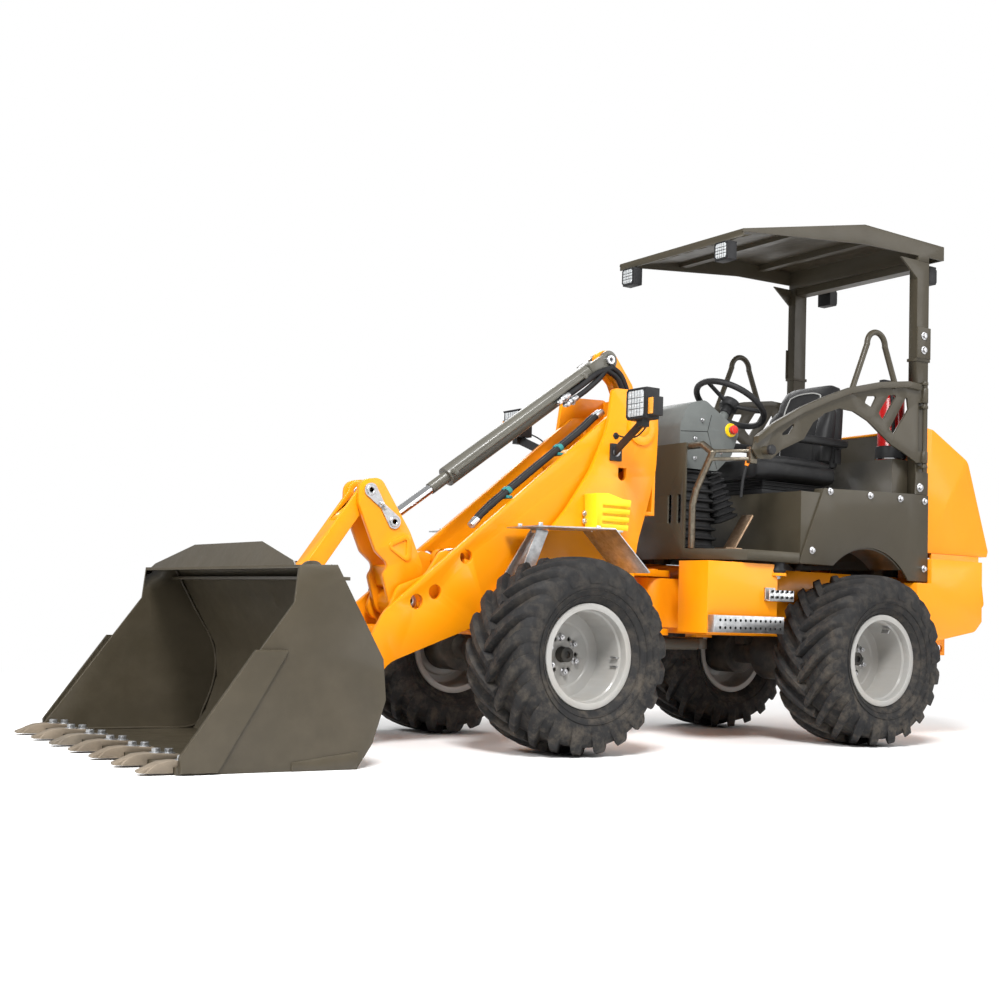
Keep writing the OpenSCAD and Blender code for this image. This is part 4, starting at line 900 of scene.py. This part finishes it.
knob_profile = [(0.0, 0.0), (0.019, 0.0), (0.0235, 0.004), (0.0235, 0.018), (0.019, 0.023), (0.0, 0.023)]
for body, side in (("guard_left", 1), ("guard_right", -1)):
    turned_piece(body + "_knob", plastic, body, rp(585, side * 496, 1310), (0, side, 0), knob_profile, 8,
                 "black_plastic")

levers = Bag("hand_lever", plastic, "rear", "black_plastic")
levers.tube([rp(470, 196, 1120), rp(462, 198, 1200), rp(448, 204, 1270)], 0.007, 12, 6)
levers.done()
grip_profile = [(0.0, 0.0), (0.009, 0.002), (0.0115, 0.02), (0.0105, 0.05), (0.0, 0.056)]
turned_piece("hand_lever_grip", orange, "rear", rp(448, 204, 1268), (-0.28, 0.1, 0.95), grip_profile, 20)

# Rubber mounts under the platform, and black discs of painted shade for the holes in the steps
MOUNT_CORNERS = ((318, 330), (566, 330), (566, 352), (458, 452), (426, 452), (318, 352))
MOUNT_PROFILE = [(0.0, 0.0), (0.036, 0.0), (0.04, 0.012), (0.034, 0.024), (0.034, 0.05), (0.0, 0.05)]
# Profile of a black disc a touch proud of the step, painted as the shade inside a hole
STEP_HOLE_SHADE_PROFILE = [(0.0, 0.0006), (0.0065, 0.0006), (0.0065, -0.002)]
STEP_HOLE_PITCH = 30
mount_plate = Bag("mount_brackets", yellow, "rear", "yellow_paint")
mount_rubber = Bag("mount_rubbers", hose_black, "rear", "hose_rubber")
mount_bolts = Bag("mount_bolts", zinc, "rear")
# The step holes are black discs of painted shade, not cut openings
step_hole_shade_discs = Bag("step_hole_shade_discs", gap_shade_black, "rear")
for side in (1, -1):
    mount_plate.skin([[mount_plate.mesh.verts.new(rp(x, side * y, z)) for x, y in MOUNT_CORNERS]
                      for z in (756, 768)])
    mount_rubber.lathe(rp(442, side * 410, 768), (0, 0, 1), MOUNT_PROFILE, 32)
    mount_bolts.bolt(rp(442, side * 410, 755.5), (0, 0, -1), 0.03)
    for first, last, heights in ((468, 846, (516, 549)), (396, 522, (658, 684))):
        for z in heights:
            for k in range(int((last - first) / STEP_HOLE_PITCH) + 1):
                hole_at = rp(first + STEP_HOLE_PITCH * k, side * 465, z)
                step_hole_shade_discs.lathe(hole_at, (0, side, 0), STEP_HOLE_SHADE_PROFILE, 14)
mount_plate.done()
mount_rubber.done()
mount_bolts.done()
step_hole_shade_discs.done()


# Wear parts of the bucket
BUCKET_HALF = 742.0
CUTTER_OUTLINE = ((1565, 6), (1690, 6), (1694, 58), (1450, 400), (1334, 400))
CUTTER_MIDDLE = (1552, 180)
CUTTER_INSET = 0.015
CUTTER_WELD = ((1563, 8), (1450, 202), (1332, 400))
SHELL_WELD = ((1180, 690), (1085, 530), (990, 372), (976, 234), (1020, 94), (1070, 22), (1300, 18),
              (1560, 18))
cutters = Bag("bucket_side_cutters", bucket_olive, "bucket", "dark_paint")
weld_beads = Bag("bucket_weld_beads", bucket_olive, "bucket", "dark_paint")
inset = [(x * (1 - CUTTER_INSET) + CUTTER_MIDDLE[0] * CUTTER_INSET,
          z * (1 - CUTTER_INSET) + CUTTER_MIDDLE[1] * CUTTER_INSET) for x, z in CUTTER_OUTLINE]
for side in (1, -1):
    levels = ((CUTTER_OUTLINE, 741.0), (CUTTER_OUTLINE, 755.0), (inset, 759.0))
    cutters.skin([[cutters.mesh.verts.new(fp(x, side * y, z)) for x, z in line] for line, y in levels])
    weld_beads.tube([fp(x, side * (BUCKET_HALF + 2), z) for x, z in CUTTER_WELD], 0.004, 8, 12)
    weld_beads.tube([fp(x, side * (BUCKET_HALF - 14), z) for x, z in SHELL_WELD], 0.005, 8, 6)
cutters.done()
weld_beads.done()

tooth_bolts = Bag("tooth_bolts", zinc, "bucket")
TOOTH_WIDTH = 60.0
TOOTH_COUNT = 7
first_tooth = -BUCKET_HALF + TOOTH_WIDTH / 2 + 14
for k in range(TOOTH_COUNT):
    y = first_tooth - 2 * first_tooth * k / (TOOTH_COUNT - 1)
    for x, z in ((1620, 41.0), (1665, 43.5)):
        tooth_bolts.bolt(fp(x, y, z), (0, 0, 1), 0.0275, 0.0135)
tooth_bolts.done()


# Second boot, leaning from the console toward the seat
LEAN_FOLDS = 8
lean_top = Vector((540.0, 0.0, 1236.0))
lean_foot = Vector((462.0, 0.0, 1012.0))
lean_along = (lean_foot - lean_top).normalized()
lean_across = Vector((-lean_along.z, 0.0, lean_along.x))
lean_boot = Bag("lever_boot", hose_black, "rear", "hose_rubber")
lean_stations = []
for k in range(LEAN_FOLDS):
    spot = lean_top.lerp(lean_foot, (k + 0.5) / LEAN_FOLDS)
    wide = 96 + 3 * k
    deep = 58 + 3 * k
    for shift, shrink in ((-11, 15), (-4, 0), (4, 0), (11, 15)):
        middle = spot + lean_along * shift
        lean_stations.append((rp(middle.x, 0, middle.z), lean_across * ((deep - shrink) / 1000),
                              Vector((0, (wide - shrink) / 1000, 0))))
loft(lean_boot, lean_stations, BOOT_SIDES, BOOT_POWER)
lean_boot.done()


# Stage, light and camera


def stage_plane(name, size, colour):
    """Pale floor that reads white to the camera and keeps the shadow."""
    mesh = bpy.data.meshes.new(name)
    corners = [(-size, -size, 0), (size, -size, 0), (size, size, 0), (-size, size, 0)]
    mesh.from_pydata(corners, [], [(0, 1, 2, 3)])
    floor = bpy.data.objects.new(name, mesh)
    bpy.context.scene.collection.objects.link(floor)
    n = Nodes(name)
    length = n.add("ShaderNodeVectorMath", operation="LENGTH")
    n.link(n.place, length.inputs[0])
    far = n.span(length.outputs["Value"], 2.6, 5.5)
    n.colour(n.mix(far, colour, (0.0, 0.0, 0.0)))
    n.link(far, n.shader.inputs["Emission Strength"])
    mesh.materials.append(n.set(Roughness=0.95, Specular_IOR_Level=0.0, Emission_Color=(1.0, 1.0, 1.0, 1.0)))


WORLD_LIGHT = 0.42
stage_plane("studio_floor", 60.0, (0.93, 0.93, 0.93))

world = bpy.data.worlds.new("studio")
bpy.context.scene.world = world
world.use_nodes = True
world_tree = world.node_tree
background = world_tree.nodes["Background"]
background.inputs["Color"].default_value = (1.0, 1.0, 1.0, 1.0)
light_path = world_tree.nodes.new("ShaderNodeLightPath")
strength = world_tree.nodes.new("ShaderNodeMapRange")
strength.inputs["To Min"].default_value = WORLD_LIGHT
strength.inputs["To Max"].default_value = 1.0
world_tree.links.new(light_path.outputs["Is Camera Ray"], strength.inputs["Value"])
world_tree.links.new(strength.outputs["Result"], background.inputs["Strength"])


def area_light(name, at, target, size, power):
    """Soft rectangular lamp aimed at a point."""
    data = bpy.data.lights.new(name, "AREA")
    data.energy = power
    data.size = size
    lamp = bpy.data.objects.new(name, data)
    bpy.context.scene.collection.objects.link(lamp)
    lamp.location = at
    lamp.rotation_euler = (Vector(target) - Vector(at)).to_track_quat("-Z", "Y").to_euler()


area_light("key", (3.5, 5.5, 7.0), (0.2, 0.0, 0.9), 2.2, 950)
area_light("front", (7.0, 1.5, 4.5), (1.0, 0.0, 0.4), 2.5, 420)
area_light("fill", (-5.0, 6.0, 4.0), (0.0, 0.0, 0.9), 5.0, 260)
area_light("rim", (-3.0, -6.5, 6.0), (0.0, 0.0, 1.0), 4.0, 320)

CAMERA_AT = Vector((3.8308, 5.0761, 0.5541))
CAMERA_YAW = math.radians(-123.56)
CAMERA_PITCH = math.radians(4.48)
CAMERA_ROLL = math.radians(1.99)
CAMERA_LENS = 51.25

ahead_level = math.cos(CAMERA_PITCH)
forward = Vector((math.cos(CAMERA_YAW) * ahead_level, math.sin(CAMERA_YAW) * ahead_level,
                  math.sin(CAMERA_PITCH)))
level_right = Vector((math.sin(CAMERA_YAW), -math.cos(CAMERA_YAW), 0.0))
level_up = level_right.cross(forward)
right = level_right * math.cos(CAMERA_ROLL) + level_up * math.sin(CAMERA_ROLL)
up = right.cross(forward)
camera_data = bpy.data.cameras.new("photo_view")
camera_data.lens = CAMERA_LENS
camera_data.sensor_width = 36.0
camera = bpy.data.objects.new("photo_view", camera_data)
bpy.context.scene.collection.objects.link(camera)
camera.matrix_world = Matrix.Translation(CAMERA_AT) @ Matrix((right, up, -forward)).transposed().to_4x4()
bpy.context.scene.camera = camera
bpy.context.scene.view_settings.view_transform = "Standard"
